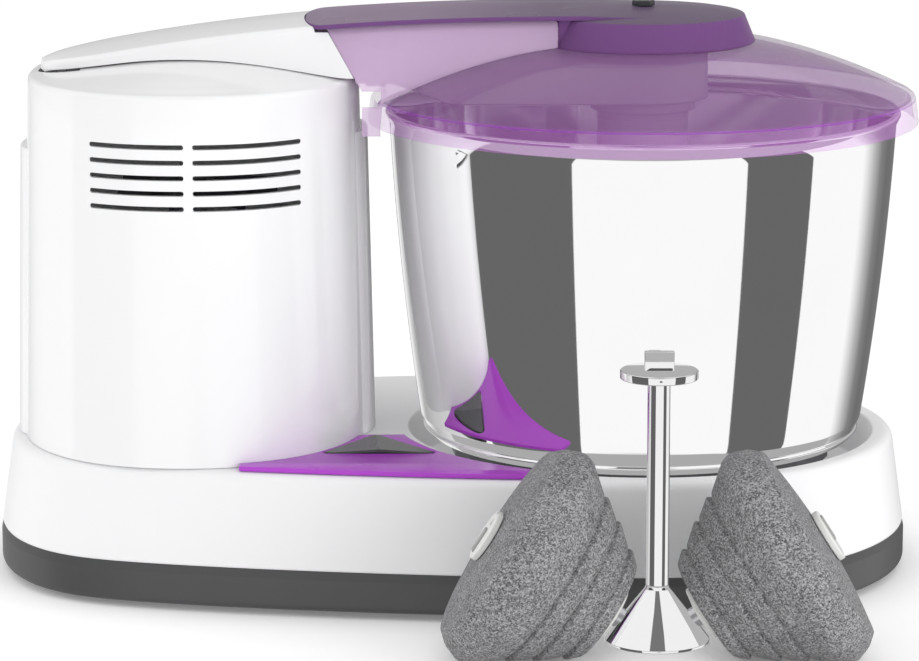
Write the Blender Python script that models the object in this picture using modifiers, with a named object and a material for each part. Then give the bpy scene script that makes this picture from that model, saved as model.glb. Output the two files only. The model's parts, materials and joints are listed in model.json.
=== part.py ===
"""Table-top wet grinder: belt-driven steel drum, motor tower, tilting arm with a clear lid, roller set.

Metres, +Z up, front towards -Y. Shapes are drawn round the drum axis (x = 0, y = 0, floor z = 0), and
one empty moves the whole set so that the origin is at the bottom centre of its box.
"""

import math

import bmesh
import bpy
from mathutils import Matrix, Vector

# Fineness of curved pieces
fine_sides = 44
round_sides = 28
small_sides = 16
tiny_sides = 12
base_sides = 40
tower_sides = 40
corner_steps = 3
belt_arc_steps = 24
trim_arc_steps = 12
vent_end_steps = 2
quarter_steps = 2
tiny_merge = 0.00001
tiny_angle = 0.001
flat_angle = math.radians(0.05)

# Clearances
rest_gap = 0.0003
running_gap = 0.0003
cover_gap = 0.0004
overrun = 0.006

# Base: a wide end round the drum and two corner circles at the tower end
base_margin = 0.0173
base_corner_distance = 0.2543
base_corner_spread = 0.0468
base_corner_radius = 0.0476
base_end_round_share = 0.623
base_blend_power = 11.6
foot_height = 0.0030
foot_radius = 0.0120
foot_stem_radius = 0.0040
foot_bevel = 0.0010
foot_inset = 0.0330
foot_drum_angle = math.radians(52)
foot_tower_y = 0.0500
foot_tower_reach = 0.0177
plate_height = 0.0205
plate_wall = 0.0025
plate_edge_radius = 0.0085
plate_lip_drop = 0.0040
housing_wall = 0.0025
base_top_height = 0.0705
housing_foot_inset = 0.0008
housing_waist_shares = (0.486, 0.700)
housing_waist_inset_shares = (0.59, 0.81)
housing_shoulder_inset = 0.0068
housing_shoulder_radius = 0.0045
plate_lip_inset = 0.0008
foot_stem_stand = 0.0015

# Well in the base top, round the foot of the drum
well_side_room = 0.0060
well_depth = 0.0245
well_edge = 0.0022
well_floor_wall = 0.0028
ring_width = 0.0070

# Drum
drum_rim_radius = 0.1290
drum_height = 0.1690
drum_bead_radius = 0.0018
drum_bead_start = math.radians(150)
drum_bead_sweep = math.radians(180)
drum_bead_steps = 3
drum_neck_step = 0.0012
drum_neck_drop = 0.0060
drum_foot_radius = 0.1138
drum_knee_height = 0.0085
drum_knee_width = 0.0078
drum_floor_rise = 0.0215
drum_wall = 0.0010
slab_thickness = 0.0210
slab_side_gap = 0.0005
post_radius = 0.0090
post_height = 0.0240

# Turntable, spindle and its bearings
turntable_inset = 0.0080
turntable_thickness = 0.0045
turntable_hub_radius = 0.0250
turntable_hub_depth = 0.0075
spindle_radius = 0.0060
spindle_tail = 0.0080
bearing_ring_depth = 0.0070
bearing_width = 0.0080
bearing_tube_wall = 0.0045
bearing_flange_radius = 0.0320
bearing_flange_thickness = 0.0040
bearing_tube_rise = 0.0085
bearing_tube_drop = 0.0115
bearing_lip = 0.0015

# Belt drive
drum_pulley_radius = 0.0720
motor_pulley_radius = 0.0090
pulley_flange = 0.0030
pulley_rim = 0.0022
belt_thickness = 0.0022
belt_width = 0.0080
belt_rise = 0.0190

# Motor tower
tower_setback = 0.0253
tower_half_width = 0.0840
tower_half_depth = 0.0990
tower_squareness = 2.20
tower_draft = 0.0042
tower_over_rim = 0.0190
tower_crown_rise = 0.0110
crown_power = 1.30
crown_shares = (0.92, 0.76, 0.54, 0.26)
tower_wall = 0.0030
tower_edge_radius = 0.0025
pilaster_half_depth = 0.0280
pilaster_reach = 0.0105
right_pilaster_drop = 0.0251
left_pilaster_drop = 0.0370
left_pilaster_stand = 0.0040
right_pilaster_stand = 0.0060

# Vent slots in the tower front
vent_rows = 5
vent_drop = 0.0250
vent_pitch = 0.0076
vent_slot_height = 0.0025
vent_gap = 0.0044
vent_left_reach = 0.0490
vent_right_reach = 0.0542
vent_shift = 0.0030
vent_cut_depth = 0.0600

# Motor, on the shaft line of the tower
motor_radius = 0.0500
stator_height = 0.0500
stator_depth = 0.0228
winding_outer_room = 0.0060
winding_inner_room = 0.0038
winding_height = 0.0165
end_cap_height = 0.0290
end_cap_wall = 0.0025
motor_plate_margin = 0.0012
motor_plate_lip = 0.0060
rotor_air_gap = 0.0005
motor_plate_thickness = 0.0030
motor_opening_radius = 0.0250
motor_shaft_radius = 0.0060
motor_bearing_depth = 0.0050
motor_bearing_width = 0.0070
fan_room = 0.0080
fan_hub_radius = 0.0100
fan_height = 0.0120
fan_blades = 7
fan_blade_thickness = 0.0030
fan_lift = 0.0060
shaft_end = 0.0040
capacitor_radius = 0.0130
capacitor_height = 0.0600
capacitor_room = 0.0025

# Switch in its coloured trim, on the base top between the tower and the well
trim_thickness = 0.0022
trim_inset = 0.0095
trim_tip_setback = 0.0260
trim_end_angle = math.radians(105)
trim_neck_y = 0.0360
key_front_y = 0.0790
key_tower_setback = 0.0640
key_width = 0.0630
key_apex_setback = 0.0290
key_length = 0.0370
key_corner_radius = 0.0045
key_stand = 0.0015
key_travel = 0.0025
key_depth = 0.0065
key_gap = 0.0005
key_edge = 0.0008
switch_wall = 0.0020
switch_depth = 0.0160

# Cord gland in the back wall
gland_radius = 0.0066
gland_flange_radius = 0.0100
gland_flange_thickness = 0.0025
gland_bore_radius = 0.0036
gland_height = 0.0450
gland_inner_length = 0.0090
gland_angle = math.radians(99)
gland_inset = 0.0038
gland_lean = math.radians(8)

# Hinge of the arm, at the far end of the tower
hinge_reach = 0.0650
hinge_rise = 0.0025
hinge_pin_radius = 0.0020
hinge_pin_stand = 0.0027
hinge_slot_setback = 0.0100
hinge_slot_depth = 0.0145
slot_gap = 0.0012
knuckle_wall = 0.0020
knuckle_half_width = 0.0130
hinge_side_gap = 0.0010
ear_thickness = 0.0028
ear_wall = 0.0016
ear_turn = math.radians(60)
bracket_setback = 0.0090
bracket_margin = 0.0042
bracket_length = 0.0240
bracket_depth = 0.0080
bracket_gap = 0.0008

# Arm: a peak over the drum that falls away towards the hinge
arm_peak_rise = 0.0037
arm_peak_x = 0.0100
arm_drop = 0.0110
arm_drop_setback = 0.0820
arm_drop_power = 2.60
arm_half_width = 0.0355
arm_crease_drop = 0.0016
arm_crease_radius = 0.0020
arm_side_slope = 0.200
arm_tip_reach = 0.0130
arm_tip_length = 0.0450
arm_tip_power = 2.20
arm_tip_start = 0.0008
arm_tip_round = 0.0015
arm_tip_round_length = 0.0100
arm_wall = 0.0022
arm_skirt_drop = 0.0030
joint_tower_gap = 0.0010
joint_lean = 0.0160
joint_foot_rise = 0.0005
joint_rise = 0.0280
arm_sections = 10
arm_section_power = 1.25
past_end_share = 1.05
cover_foot_gap = 0.0009
beam_side_room = 0.0025
beam_waist_step = 0.0018
beam_rear_drop = 0.0056
beam_front_drop = 0.0080
beam_tongue_drop = 0.0038
beam_tongue_ramp = 0.0120
beam_front_lead = 0.0040
beam_steps = 8
beam_end_steps = 12
beam_floor_rise = 0.0110
beam_wall = 0.0030
beam_start_setback = 0.0025
beam_neck_setback = 0.0440
beam_post_radius = 0.0080
crown_gap = 0.0010

# Dark cover over the arm, with the round cap over the drum axis
strip_overhang = 0.0030
strip_left_reach = 0.0100
strip_tip_length = 0.0100
strip_tip_start = 0.0005
strip_end_x = 0.0450
strip_thickness = 0.0020
strip_lip = 0.0045
strip_lip_round = 0.0010
strip_crown = 0.0008
strip_steps = 10
strip_rows = 2
strip_tip_steps = 10
strip_notch_drop = 0.0105
cap_flare = 0.0055
cap_foot_drop = 0.0025
cap_edge_radius = 0.0515
cap_rise = 0.0135
cap_edge_round = 0.0030
cap_crown = 0.0016
cap_steps = 3
cap_wall = 0.0024
cap_bolt_radius = 0.0058
cap_bolt_height = 0.0028
cap_bolt_shank = 0.0030
cap_bolt_length = 0.0300

# Lid
lid_side_room = 0.0115
lid_overlap = 0.0055
lid_skirt_flare = 0.0020
lid_skirt_depth = 0.0130
lid_seam_drop = 0.0040
lid_top_room = 0.0010
lid_dome_rise = 0.0295
lid_start_inset = 0.0050
lid_fullness = 1.75
lid_wall = 0.0022
lid_steps = 5
lid_shoulder_round = 0.0035
boss_flange_reach = 0.0038
boss_flange_height = 0.0058
boss_neck_inset = 0.0012
boss_neck_height = 0.0036
boss_wall = 0.0035
boss_tube_height = 0.0200
disc_side_room = 0.0011
boss_skin = 0.0009

# Roller set, standing in front of the drum on its two stones
roller_y = 0.1970
roller_tilt = math.radians(32.5)
stone_radius = 0.0577
stone_start = 0.0073
stone_start_radius = 0.0255
stone_step_place_shares = (0.169, 0.431, 0.672)
stone_step_radius_shares = (0.155, 0.410, 0.621)
stone_step = 0.0009
stone_cone_length = 0.0457
stone_rim_width = 0.0030
stone_shoulder_run = 0.0090
stone_shoulder_drop = 0.0037
stone_face_length = 0.0177
bush_wall = 0.0050
stone_crown = 0.0042
stone_crown_inset = 0.0077
stone_crown_steps = 2
axle_radius = 0.0050
axle_offset = 0.0170
axle_root = 0.0090
bush_flange_radius = 0.0135
bush_flange_thickness = 0.0028
bush_shortfall = 0.0085
end_cap_radius = 0.0130
end_cap_thickness = 0.0030
end_cap_bar_width = 0.0070
end_cap_bar_height = 0.0022
cone_foot_radius = 0.0250
cone_foot_height = 0.0097
cone_height = 0.0270
roller_shaft_radius = 0.0054
spigot_radius = 0.0032
spigot_length = 0.0120
disc_radius = 0.0184
disc_thickness = 0.0040
shaft_length = 0.1040
key_block_width = 0.0140
key_block_depth = 0.0050
key_block_height = 0.0090
key_slot_gap = 0.0003

# Radii that follow from the sizes above
drum_floor_radius = drum_foot_radius - drum_knee_width
well_radius = drum_foot_radius + well_side_room
base_wide_radius = well_radius + base_margin
turntable_radius = drum_floor_radius - turntable_inset
bearing_outer_radius = spindle_radius + bearing_ring_depth
bearing_tube_radius = bearing_outer_radius + bearing_tube_wall
winding_outer_radius = motor_radius - winding_outer_room
stator_bore_radius = motor_radius - stator_depth
winding_inner_radius = stator_bore_radius + winding_inner_room
fan_radius = motor_radius - fan_room
motor_plate_radius = motor_radius + motor_plate_margin
motor_bearing_radius = motor_shaft_radius + motor_bearing_depth
knuckle_radius = hinge_pin_radius + knuckle_wall
ear_radius = hinge_pin_radius + ear_wall
beam_half_width = arm_half_width - beam_side_room
strip_half_width = arm_half_width + strip_overhang
cap_foot_radius = cap_edge_radius + cap_flare
lid_skirt_radius = drum_rim_radius + lid_side_room
lid_shoulder_radius = lid_skirt_radius - lid_skirt_flare
lid_top_radius = beam_half_width + lid_top_room
lid_start_radius = beam_half_width - lid_start_inset
boss_bore_radius = disc_radius + disc_side_room
boss_tube_radius = boss_bore_radius + boss_wall
boss_neck_radius = boss_tube_radius - boss_neck_inset
boss_flange_radius = boss_tube_radius + boss_flange_reach
stone_bore_radius = axle_radius + bush_wall
stone_shoulder_radius = stone_radius - stone_shoulder_drop
stone_crown_radius = stone_radius - stone_crown_inset

# Heights, from the floor up
plate_floor = foot_height
plate_top = foot_height + plate_height
housing_bottom = plate_top + rest_gap
housing_rise = base_top_height - housing_bottom
housing_underside = base_top_height - housing_wall
well_floor = base_top_height - well_depth
tower_foot = base_top_height + rest_gap
belt_height = foot_height + belt_rise
bearing_tube_top = well_floor + bearing_tube_rise
bearing_tube_bottom = well_floor - bearing_tube_drop
drum_floor_height = well_floor + drum_floor_rise
drum_foot_height = drum_floor_height + drum_knee_height
drum_rim_height = drum_floor_height + drum_height
turntable_top = drum_floor_height - rest_gap
slab_bottom = drum_floor_height + drum_wall + rest_gap
slab_top = slab_bottom + slab_thickness
tower_edge_height = drum_rim_height + tower_over_rim
vent_top_height = tower_edge_height - vent_drop
crown_top = tower_edge_height + tower_crown_rise
hinge_height = tower_edge_height + hinge_rise
motor_floor = tower_foot + motor_plate_thickness + rest_gap
stator_bottom = motor_floor + end_cap_height + rest_gap
stator_top = stator_bottom + stator_height
motor_top = stator_top + rest_gap + end_cap_height
fan_bottom = motor_top + fan_lift
lid_skirt_height = drum_rim_height - lid_overlap
lid_shoulder_height = lid_skirt_height + lid_skirt_depth
lid_seam_height = lid_shoulder_height - lid_seam_drop
lid_top_height = lid_shoulder_height + lid_dome_rise
arm_skirt_height = lid_skirt_height - arm_skirt_drop
beam_floor_height = lid_skirt_height + beam_floor_rise
boss_top = beam_floor_height - rest_gap
boss_neck_top = boss_top - boss_flange_height
boss_tube_top = boss_neck_top - boss_neck_height
cap_foot_height = lid_top_height - cap_foot_drop
cap_edge_height = cap_foot_height + cap_rise
arm_peak_height = cap_edge_height + arm_peak_rise
strip_notch_height = arm_peak_height - strip_notch_drop
joint_foot_height = tower_edge_height + joint_foot_rise
joint_top_height = joint_foot_height + joint_rise
cone_top = cone_foot_height + cone_height
disc_height = cone_top + shaft_length

# Places along the machine, as distances to the left of the drum axis
tower_distance = base_corner_distance - tower_setback
motor_x = -tower_distance
foot_tower_x = base_corner_distance + foot_tower_reach
capacitor_distance = motor_radius + capacitor_radius + capacitor_room
trim_tip_x = tower_distance - trim_tip_setback
key_left_x = tower_distance - key_tower_setback
key_right_x = key_left_x - key_width
key_apex_x = key_left_x - key_apex_setback
key_apex_y = key_front_y - key_length
hinge_x = tower_distance + hinge_reach
hinge_slot_x = hinge_x - hinge_slot_setback
bracket_left_x = hinge_x - bracket_setback
beam_neck_x = hinge_x - beam_neck_setback
arm_tip_x = hinge_x + arm_tip_reach
arm_start = arm_tip_start - arm_tip_x
arm_drop_reach = arm_tip_x - arm_peak_x - arm_drop_setback
joint_foot_x = tower_distance - tower_half_width + joint_tower_gap
joint_top_x = joint_foot_x + joint_lean
beam_start_x = joint_foot_x - beam_start_setback
strip_left_x = joint_top_x + strip_left_reach
knuckle_reach = knuckle_half_width + hinge_side_gap
bracket_half_width = knuckle_reach + ear_thickness + bracket_margin
hinge_pin_length = 2 * (knuckle_reach + ear_thickness + hinge_pin_stand)

# Places along a stone's axle
stone_widest = stone_start + stone_cone_length
stone_rim_end = stone_widest + stone_rim_width
stone_shoulder_place = stone_rim_end + stone_shoulder_run
stone_end = stone_rim_end + stone_face_length
stone_bush_end = stone_end - bush_shortfall

# Angles of rounded edges, and the box round the whole set
quarter_angles = [math.pi / 2 * i / quarter_steps for i in range(quarter_steps + 1)]
bead_angles = [drum_bead_start - drum_bead_sweep * i / drum_bead_steps for i in range(drum_bead_steps + 1)]
belt_run = belt_thickness + running_gap
base_end_x = base_corner_distance + base_corner_spread * base_end_round_share + base_corner_radius
set_left = -base_end_x
set_right = max(base_wide_radius, lid_skirt_radius)
set_back = max(base_wide_radius, lid_skirt_radius)
set_front = -(roller_y + stone_radius)


# Scene, materials and small helpers

def clear_scene():
    """Remove every object, so that the script can be run again in an open file."""
    for item in list(bpy.data.objects):
        bpy.data.objects.remove(item, do_unlink=True)


def new_collection(name):
    collection = bpy.data.collections.new(name)
    bpy.context.scene.collection.children.link(collection)
    return collection


def finish(name, colour, roughness, metallic=0.0, alpha=1.0):
    """A Principled material with one colour."""
    material = bpy.data.materials.new(name)
    material.use_nodes = True
    shader = material.node_tree.nodes["Principled BSDF"]
    shader.inputs["Base Color"].default_value = (*colour, 1.0)
    shader.inputs["Roughness"].default_value = roughness
    shader.inputs["Metallic"].default_value = metallic
    shader.inputs["Alpha"].default_value = alpha
    material.diffuse_color = (*colour, alpha)
    return material


def axis_empty(name, location, turn=(0, 0, 0)):
    """An empty on a joint's axis, inside the frame of the whole set."""
    empty = bpy.data.objects.new(name, None)
    empty.location = location
    empty.rotation_euler = turn
    empty.parent = frame
    parts.objects.link(empty)
    return empty


def add_object(name, mesh, material=None, axis=None, local=False):
    """Link a mesh. It is drawn round the drum axis, or, if local, round its own joint's empty."""
    item = bpy.data.objects.new(name, mesh)
    item.parent = axis or frame
    if axis is not None and not local:
        item.location = -axis.location
    if material is None:
        cutters.objects.link(item)
        item.hide_render = True
        item.display_type = "WIRE"
        return item
    parts.objects.link(item)
    mesh.materials.append(material)
    return item


def mesh_from(name, points, edges=(), faces=()):
    mesh = bpy.data.meshes.new(name)
    mesh.from_pydata(points, edges, faces)
    return mesh


def signed_area(points):
    pairs = zip(points, points[1:] + points[:1])
    return sum(a[0] * b[1] - b[0] * a[1] for a, b in pairs) / 2


def turned(name, profile, material=None, axis=None, sides=round_sides, centre=(0, 0), local=False):
    """Turn a profile of (radius, height) points; it is a ring unless it starts and ends on the axis."""
    points = list(profile)
    if signed_area(points) > 0:
        points.reverse()
    edges = [(i, i + 1) for i in range(len(points) - 1) if max(points[i][0], points[i + 1][0]) > 0]
    if points[0][0] > 0:
        edges.append((len(points) - 1, 0))
    mesh = mesh_from(name, [(r, 0, z) for r, z in points], edges)
    item = add_object(name, mesh, material, axis, local)
    item.location += Vector((*centre, 0))
    screw = item.modifiers.new("Turn", "SCREW")
    screw.steps = screw.render_steps = sides
    screw.use_merge_vertices = True
    screw.merge_threshold = tiny_merge
    screw.use_smooth_shade = False
    return item


def disc(name, radius, bottom, top, material=None, axis=None, sides=round_sides, centre=(0, 0), bore=0.0,
         local=False):
    """A round plate, or a ring where it has a bore."""
    profile = [(bore, top), (radius, top), (radius, bottom), (bore, bottom)]
    return turned(name, profile, material, axis, sides, centre, local)


def flat_mesh(name, outlines, thickness):
    """The mesh of a flat 2D curve, extruded both ways from the plane z = 0."""
    curve = bpy.data.curves.new(name, "CURVE")
    curve.dimensions = "2D"
    curve.fill_mode = "BOTH"
    curve.extrude = thickness / 2
    for outline in outlines:
        spline = curve.splines.new("POLY")
        spline.points.add(len(outline) - 1)
        for point, (x, y) in zip(spline.points, outline):
            point.co = (x, y, 0, 1)
        spline.use_cyclic_u = True
    guide = bpy.data.objects.new(name, curve)
    cutters.objects.link(guide)
    bpy.context.view_layer.update()
    depsgraph = bpy.context.evaluated_depsgraph_get()
    mesh = bpy.data.meshes.new_from_object(guide.evaluated_get(depsgraph))
    bpy.data.objects.remove(guide)
    bpy.data.curves.remove(curve)
    shape = bmesh.new()
    shape.from_mesh(mesh)
    bmesh.ops.remove_doubles(shape, verts=shape.verts, dist=tiny_merge)
    bmesh.ops.dissolve_limit(shape, angle_limit=flat_angle, verts=shape.verts, edges=shape.edges)
    bmesh.ops.recalc_face_normals(shape, faces=shape.faces)
    shape.to_mesh(mesh)
    shape.free()
    mesh.name = name
    return mesh


def prism(name, outlines, bottom, top, material=None, axis=None):
    """A flat outline in plan, with any holes as further outlines, between two heights."""
    mesh = flat_mesh(name, outlines, top - bottom)
    mesh.transform(Matrix.Translation((0, 0, (top + bottom) / 2)))
    return add_object(name, mesh, material, axis)


def side_prism(name, outline, front, back, material=None, axis=None):
    """A flat outline in side view, of (x, z) points, between two depths y."""
    mesh = flat_mesh(name, [outline], back - front)
    upright = Matrix.Rotation(math.radians(90), 4, "X")
    mesh.transform(Matrix.Translation((0, (front + back) / 2, 0)) @ upright)
    return add_object(name, mesh, material, axis)


def block(name, low, high, material=None, axis=None, local=False):
    """A box between two corners."""
    shape = bmesh.new()
    bmesh.ops.create_cube(shape, size=1)
    size = [b - a for a, b in zip(low, high)]
    middle = [(a + b) / 2 for a, b in zip(low, high)]
    bmesh.ops.scale(shape, vec=size, verts=shape.verts)
    bmesh.ops.translate(shape, vec=middle, verts=shape.verts)
    mesh = bpy.data.meshes.new(name)
    shape.to_mesh(mesh)
    shape.free()
    return add_object(name, mesh, material, axis, local)


def rod_along_y(name, radius, front, back, x, z, material=None, axis=None, sides=tiny_sides):
    """A round bar along Y."""
    shape = bmesh.new()
    turn = Matrix.Translation((x, (front + back) / 2, z)) @ Matrix.Rotation(math.radians(90), 4, "X")
    bmesh.ops.create_cone(shape, cap_ends=True, segments=sides, radius1=radius, radius2=radius,
                          depth=back - front, matrix=turn)
    mesh = bpy.data.meshes.new(name)
    shape.to_mesh(mesh)
    shape.free()
    return add_object(name, mesh, material, axis)


def loft(name, loops, material=None, axis=None, first_cap=True, last_cap=True, local=False):
    """Join closed loops of equal length, listed from the bottom up and turning left, with flat ends."""
    sides = len(loops[0])
    points = [point for loop in loops for point in loop]
    faces = []
    for row in range(len(loops) - 1):
        low, high = row * sides, (row + 1) * sides
        for i in range(sides):
            j = (i + 1) % sides
            faces.append((low + i, low + j, high + j, high + i))
    if first_cap:
        faces.append(tuple(reversed(range(sides))))
    if last_cap:
        faces.append(tuple(range(len(points) - sides, len(points))))
    return add_object(name, mesh_from(name, points, (), faces), material, axis, local)


def shell(item, wall):
    """Give an open surface its wall, inwards."""
    solid = item.modifiers.new("Wall", "SOLIDIFY")
    solid.thickness = wall
    solid.offset = -1
    solid.use_even_offset = True


def boolean(item, other, operation):
    step = item.modifiers.new(operation.title(), "BOOLEAN")
    step.operation = operation
    step.object = other
    step.solver = "EXACT"


def cut(item, *tools):
    for tool in tools:
        boolean(item, tool, "DIFFERENCE")


def fuse(item, *tools):
    for tool in tools:
        boolean(item, tool, "UNION")


# Outlines and profiles

def circle(radius, sides, centre=(0, 0)):
    turn = 2 * math.pi / sides
    return [(centre[0] + radius * math.cos(i * turn), centre[1] + radius * math.sin(i * turn))
            for i in range(sides)]


def arc(radius, start, end, steps, centre=(0, 0)):
    """Points of an arc, both ends included."""
    angles = [start + (end - start) * i / steps for i in range(steps + 1)]
    return [(centre[0] + radius * math.cos(a), centre[1] + radius * math.sin(a)) for a in angles]


def base_reach(angle, inset):
    """How far the base reaches in a direction: its wide circle blended with its two corner circles."""
    spread = math.hypot(math.sin(angle), base_end_round_share)
    corner = -base_corner_distance * math.cos(angle) + base_corner_spread * spread + base_corner_radius
    corner = max(corner, 0)
    total = base_wide_radius ** base_blend_power + corner ** base_blend_power
    return total ** (1 / base_blend_power) - inset


def base_point(angle, inset):
    """The point of the base outline that faces in a direction."""
    reach = base_reach(angle, inset)
    slope = (base_reach(angle + tiny_angle, inset) - base_reach(angle - tiny_angle, inset)) / (2 * tiny_angle)
    c, s = math.cos(angle), math.sin(angle)
    return (reach * c - slope * s, reach * s + slope * c)


def base_outline(inset, sides=base_sides):
    """The base in plan, drawn in by an inset all round."""
    turn = 2 * math.pi / sides
    return [base_point(i * turn, inset) for i in range(sides)]


def power_point(angle, width, depth, power):
    """A point of a squared ellipse."""
    c, s = math.cos(angle), math.sin(angle)
    return (width * math.copysign(abs(c) ** (2 / power), c), depth * math.copysign(abs(s) ** (2 / power), s))


def tower_outline(offset, sides=tower_sides):
    """The tower in plan, grown outwards by an offset."""
    turn = 2 * math.pi / sides
    points = [power_point(i * turn, tower_half_width + offset, tower_half_depth + offset, tower_squareness)
              for i in range(sides)]
    return [(x + motor_x, y) for x, y in points]


def tower_growth(height):
    """How much wider the drafted tower is at a height than at its top edge."""
    return tower_draft * (tower_edge_height - height) / (tower_edge_height - base_top_height)


def crown_height(x, y):
    """The height of the domed tower top over a point."""
    across = abs(x - motor_x) / tower_half_width
    along = abs(y) / tower_half_depth
    share = (across ** tower_squareness + along ** tower_squareness) ** (1 / tower_squareness)
    return tower_edge_height + tower_crown_rise * max(0, 1 - share ** 2) ** crown_power


def rounded(corners, radius, steps=corner_steps):
    """A polygon, turning left, with each corner rounded to a radius."""
    points = []
    count = len(corners)
    for i, corner in enumerate(corners):
        here = Vector(corner)
        before = (Vector(corners[i - 1]) - here).normalized()
        after = (Vector(corners[(i + 1) % count]) - here).normalized()
        half = before.angle(after) / 2
        centre = here + (before + after).normalized() * (radius / math.sin(half))
        start = here + before * (radius / math.tan(half)) - centre
        sweep = math.pi - 2 * half
        for k in range(steps + 1):
            angle = math.atan2(start.y, start.x) + sweep * k / steps
            points.append((centre.x + radius * math.cos(angle), centre.y + radius * math.sin(angle)))
    return points


def walled(points, wall):
    """A closed profile: an open line of (radius, height) points and the same line one wall to its right."""
    inner = []
    for i, point in enumerate(points):
        here = Vector(point)
        before = (here - Vector(points[i - 1])).normalized() if i > 0 else None
        after = (Vector(points[i + 1]) - here).normalized() if i < len(points) - 1 else None
        along = [v for v in (before, after) if v is not None]
        sides = [Vector((v.y, -v.x)) for v in along]
        middle = sum(sides, Vector((0, 0))).normalized()
        inner.append(here + middle * (wall / middle.dot(sides[0])))
    if points[-1][0] == 0:
        inner[-1].x = 0
    if points[0][0] == 0:
        inner[0].x = 0
    return points + [(p.x, p.y) for p in reversed(inner)]


# Base

def make_base_plate():
    """The dark tray under the base, with a rounded lower edge and four foot holes."""
    steps = [plate_edge_radius * (1 - math.sin(a)) for a in quarter_angles]
    rises = [plate_edge_radius * (1 - math.cos(a)) for a in quarter_angles]
    levels = [(inset, plate_floor + rise) for inset, rise in zip(steps, rises)]
    levels += [(0, plate_top - plate_lip_drop), (plate_lip_inset, plate_top)]
    loops = [[(x, y, z) for x, y in base_outline(inset)] for inset, z in levels]
    tray = loft("base_plate", loops, grey_plastic, last_cap=False)
    shell(tray, plate_wall)
    for i, place in enumerate(foot_places()):
        hole = disc(f"foot_hole_{i}", foot_stem_radius + rest_gap, plate_floor - overrun,
                    plate_floor + overrun, sides=tiny_sides, centre=place)
        cut(tray, hole)


def foot_places():
    """Two feet under the drum and two under the tower."""
    reach = base_wide_radius - foot_inset
    right = (reach * math.cos(foot_drum_angle), reach * math.sin(foot_drum_angle))
    left = (-foot_tower_x, foot_tower_y)
    return [(right[0], -right[1]), right, (left[0], -left[1]), left]


def make_feet():
    """Rubber feet, each held by a stem through the base plate."""
    sole = plate_floor - rest_gap
    stem_top = plate_floor + plate_wall + foot_stem_stand
    profile = [(0, stem_top), (foot_stem_radius, stem_top), (foot_stem_radius, sole), (foot_radius, sole),
               (foot_radius, foot_bevel), (foot_radius - foot_bevel, 0), (0, 0)]
    names = ["foot_front_right", "foot_rear_right", "foot_front_left", "foot_rear_left"]
    for name, place in zip(names, foot_places()):
        turned(name, profile, rubber, sides=tiny_sides, centre=place)


def housing_levels():
    """Inset and height of the white wall, from its lower edge over the shoulder to the flat top."""
    shoulder = base_top_height - housing_shoulder_radius
    levels = [(housing_foot_inset, housing_bottom)]
    for rise, share in zip(housing_waist_shares, housing_waist_inset_shares):
        levels.append((housing_shoulder_inset * share, housing_bottom + housing_rise * rise))
    for a in quarter_angles:
        levels.append((housing_shoulder_inset + housing_shoulder_radius * (1 - math.cos(a)),
                       shoulder + housing_shoulder_radius * math.sin(a)))
    return levels


def make_base_housing():
    """The white base cover: its wall and top, the well for the drum, and the openings in them."""
    loops = [[(x, y, z) for x, y in base_outline(inset)] for inset, z in housing_levels()]
    cover = loft("base_housing", loops, white_plastic, first_cap=False)
    shell(cover, housing_wall)
    pot = disc("well_pot", well_radius + housing_wall, well_floor - well_floor_wall,
               base_top_height - housing_wall / 2, sides=fine_sides)
    fuse(cover, pot)
    bowl = turned("well_bowl", [
        (0, base_top_height + overrun), (well_radius + well_edge + overrun, base_top_height + overrun),
        (well_radius, base_top_height - well_edge), (well_radius, well_floor), (0, well_floor)],
        sides=fine_sides)
    spindle_hole = disc("spindle_hole", bearing_tube_radius + rest_gap, well_floor - overrun,
                        well_floor + overrun, sides=small_sides)
    motor_hole = disc("motor_hole", motor_opening_radius, base_top_height - overrun,
                      base_top_height + overrun, sides=small_sides, centre=(motor_x, 0))
    key_hole = prism("key_hole", [key_outline(key_gap)], housing_underside - overrun,
                     base_top_height + overrun)
    gland_hole = disc("gland_hole", gland_radius + rest_gap, -gland_inner_length, overrun,
                      axis=gland_axis, sides=small_sides, local=True)
    cut(cover, bowl, spindle_hole, motor_hole, key_hole, gland_hole)


def gland_place():
    """The middle of the gland on the back wall."""
    return (*base_point(gland_angle, gland_inset), gland_height)


def make_cord_gland():
    """The rubber gland in the back wall, with its bore for the cord."""
    seat = rest_gap
    face = seat + gland_flange_thickness
    turned("cord_gland", [
        (gland_bore_radius, face), (gland_flange_radius, face), (gland_flange_radius, seat),
        (gland_radius, seat), (gland_radius, -gland_inner_length), (gland_bore_radius, -gland_inner_length)],
        rubber, gland_axis, small_sides, local=True)


# Drum, turntable and spindle

def drum_line():
    """The outside of the drum, from the rolled rim down the sloping wall to the floor."""
    bead = [(drum_rim_radius + drum_bead_radius * math.cos(a), drum_rim_height - drum_bead_radius
             + drum_bead_radius * math.sin(a)) for a in bead_angles]
    neck = (drum_rim_radius - drum_neck_step, drum_rim_height - drum_neck_drop)
    knee = [(drum_floor_radius + (drum_foot_radius - drum_floor_radius) * math.cos(a),
             drum_foot_height - (drum_foot_height - drum_floor_height) * math.sin(a)) for a in quarter_angles]
    return bead + [neck] + knee + [(0, drum_floor_height)]


def make_drum():
    """The steel drum, the stone slab on its floor and the centre post."""
    turned("drum_shell", walled(drum_line(), drum_wall), steel, drum_axis, fine_sides)
    slab_radius = drum_floor_radius - slab_side_gap
    disc("drum_base_stone", slab_radius, slab_bottom, slab_top, granite, drum_axis,
         bore=post_radius + rest_gap)
    tip = slab_top + post_height
    foot = slab_bottom + rest_gap
    turned("drum_centre_post", [
        (0, tip), (post_radius - foot_bevel, tip), (post_radius, tip - foot_bevel), (post_radius, foot),
        (0, foot)], steel, drum_axis, small_sides)


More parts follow.
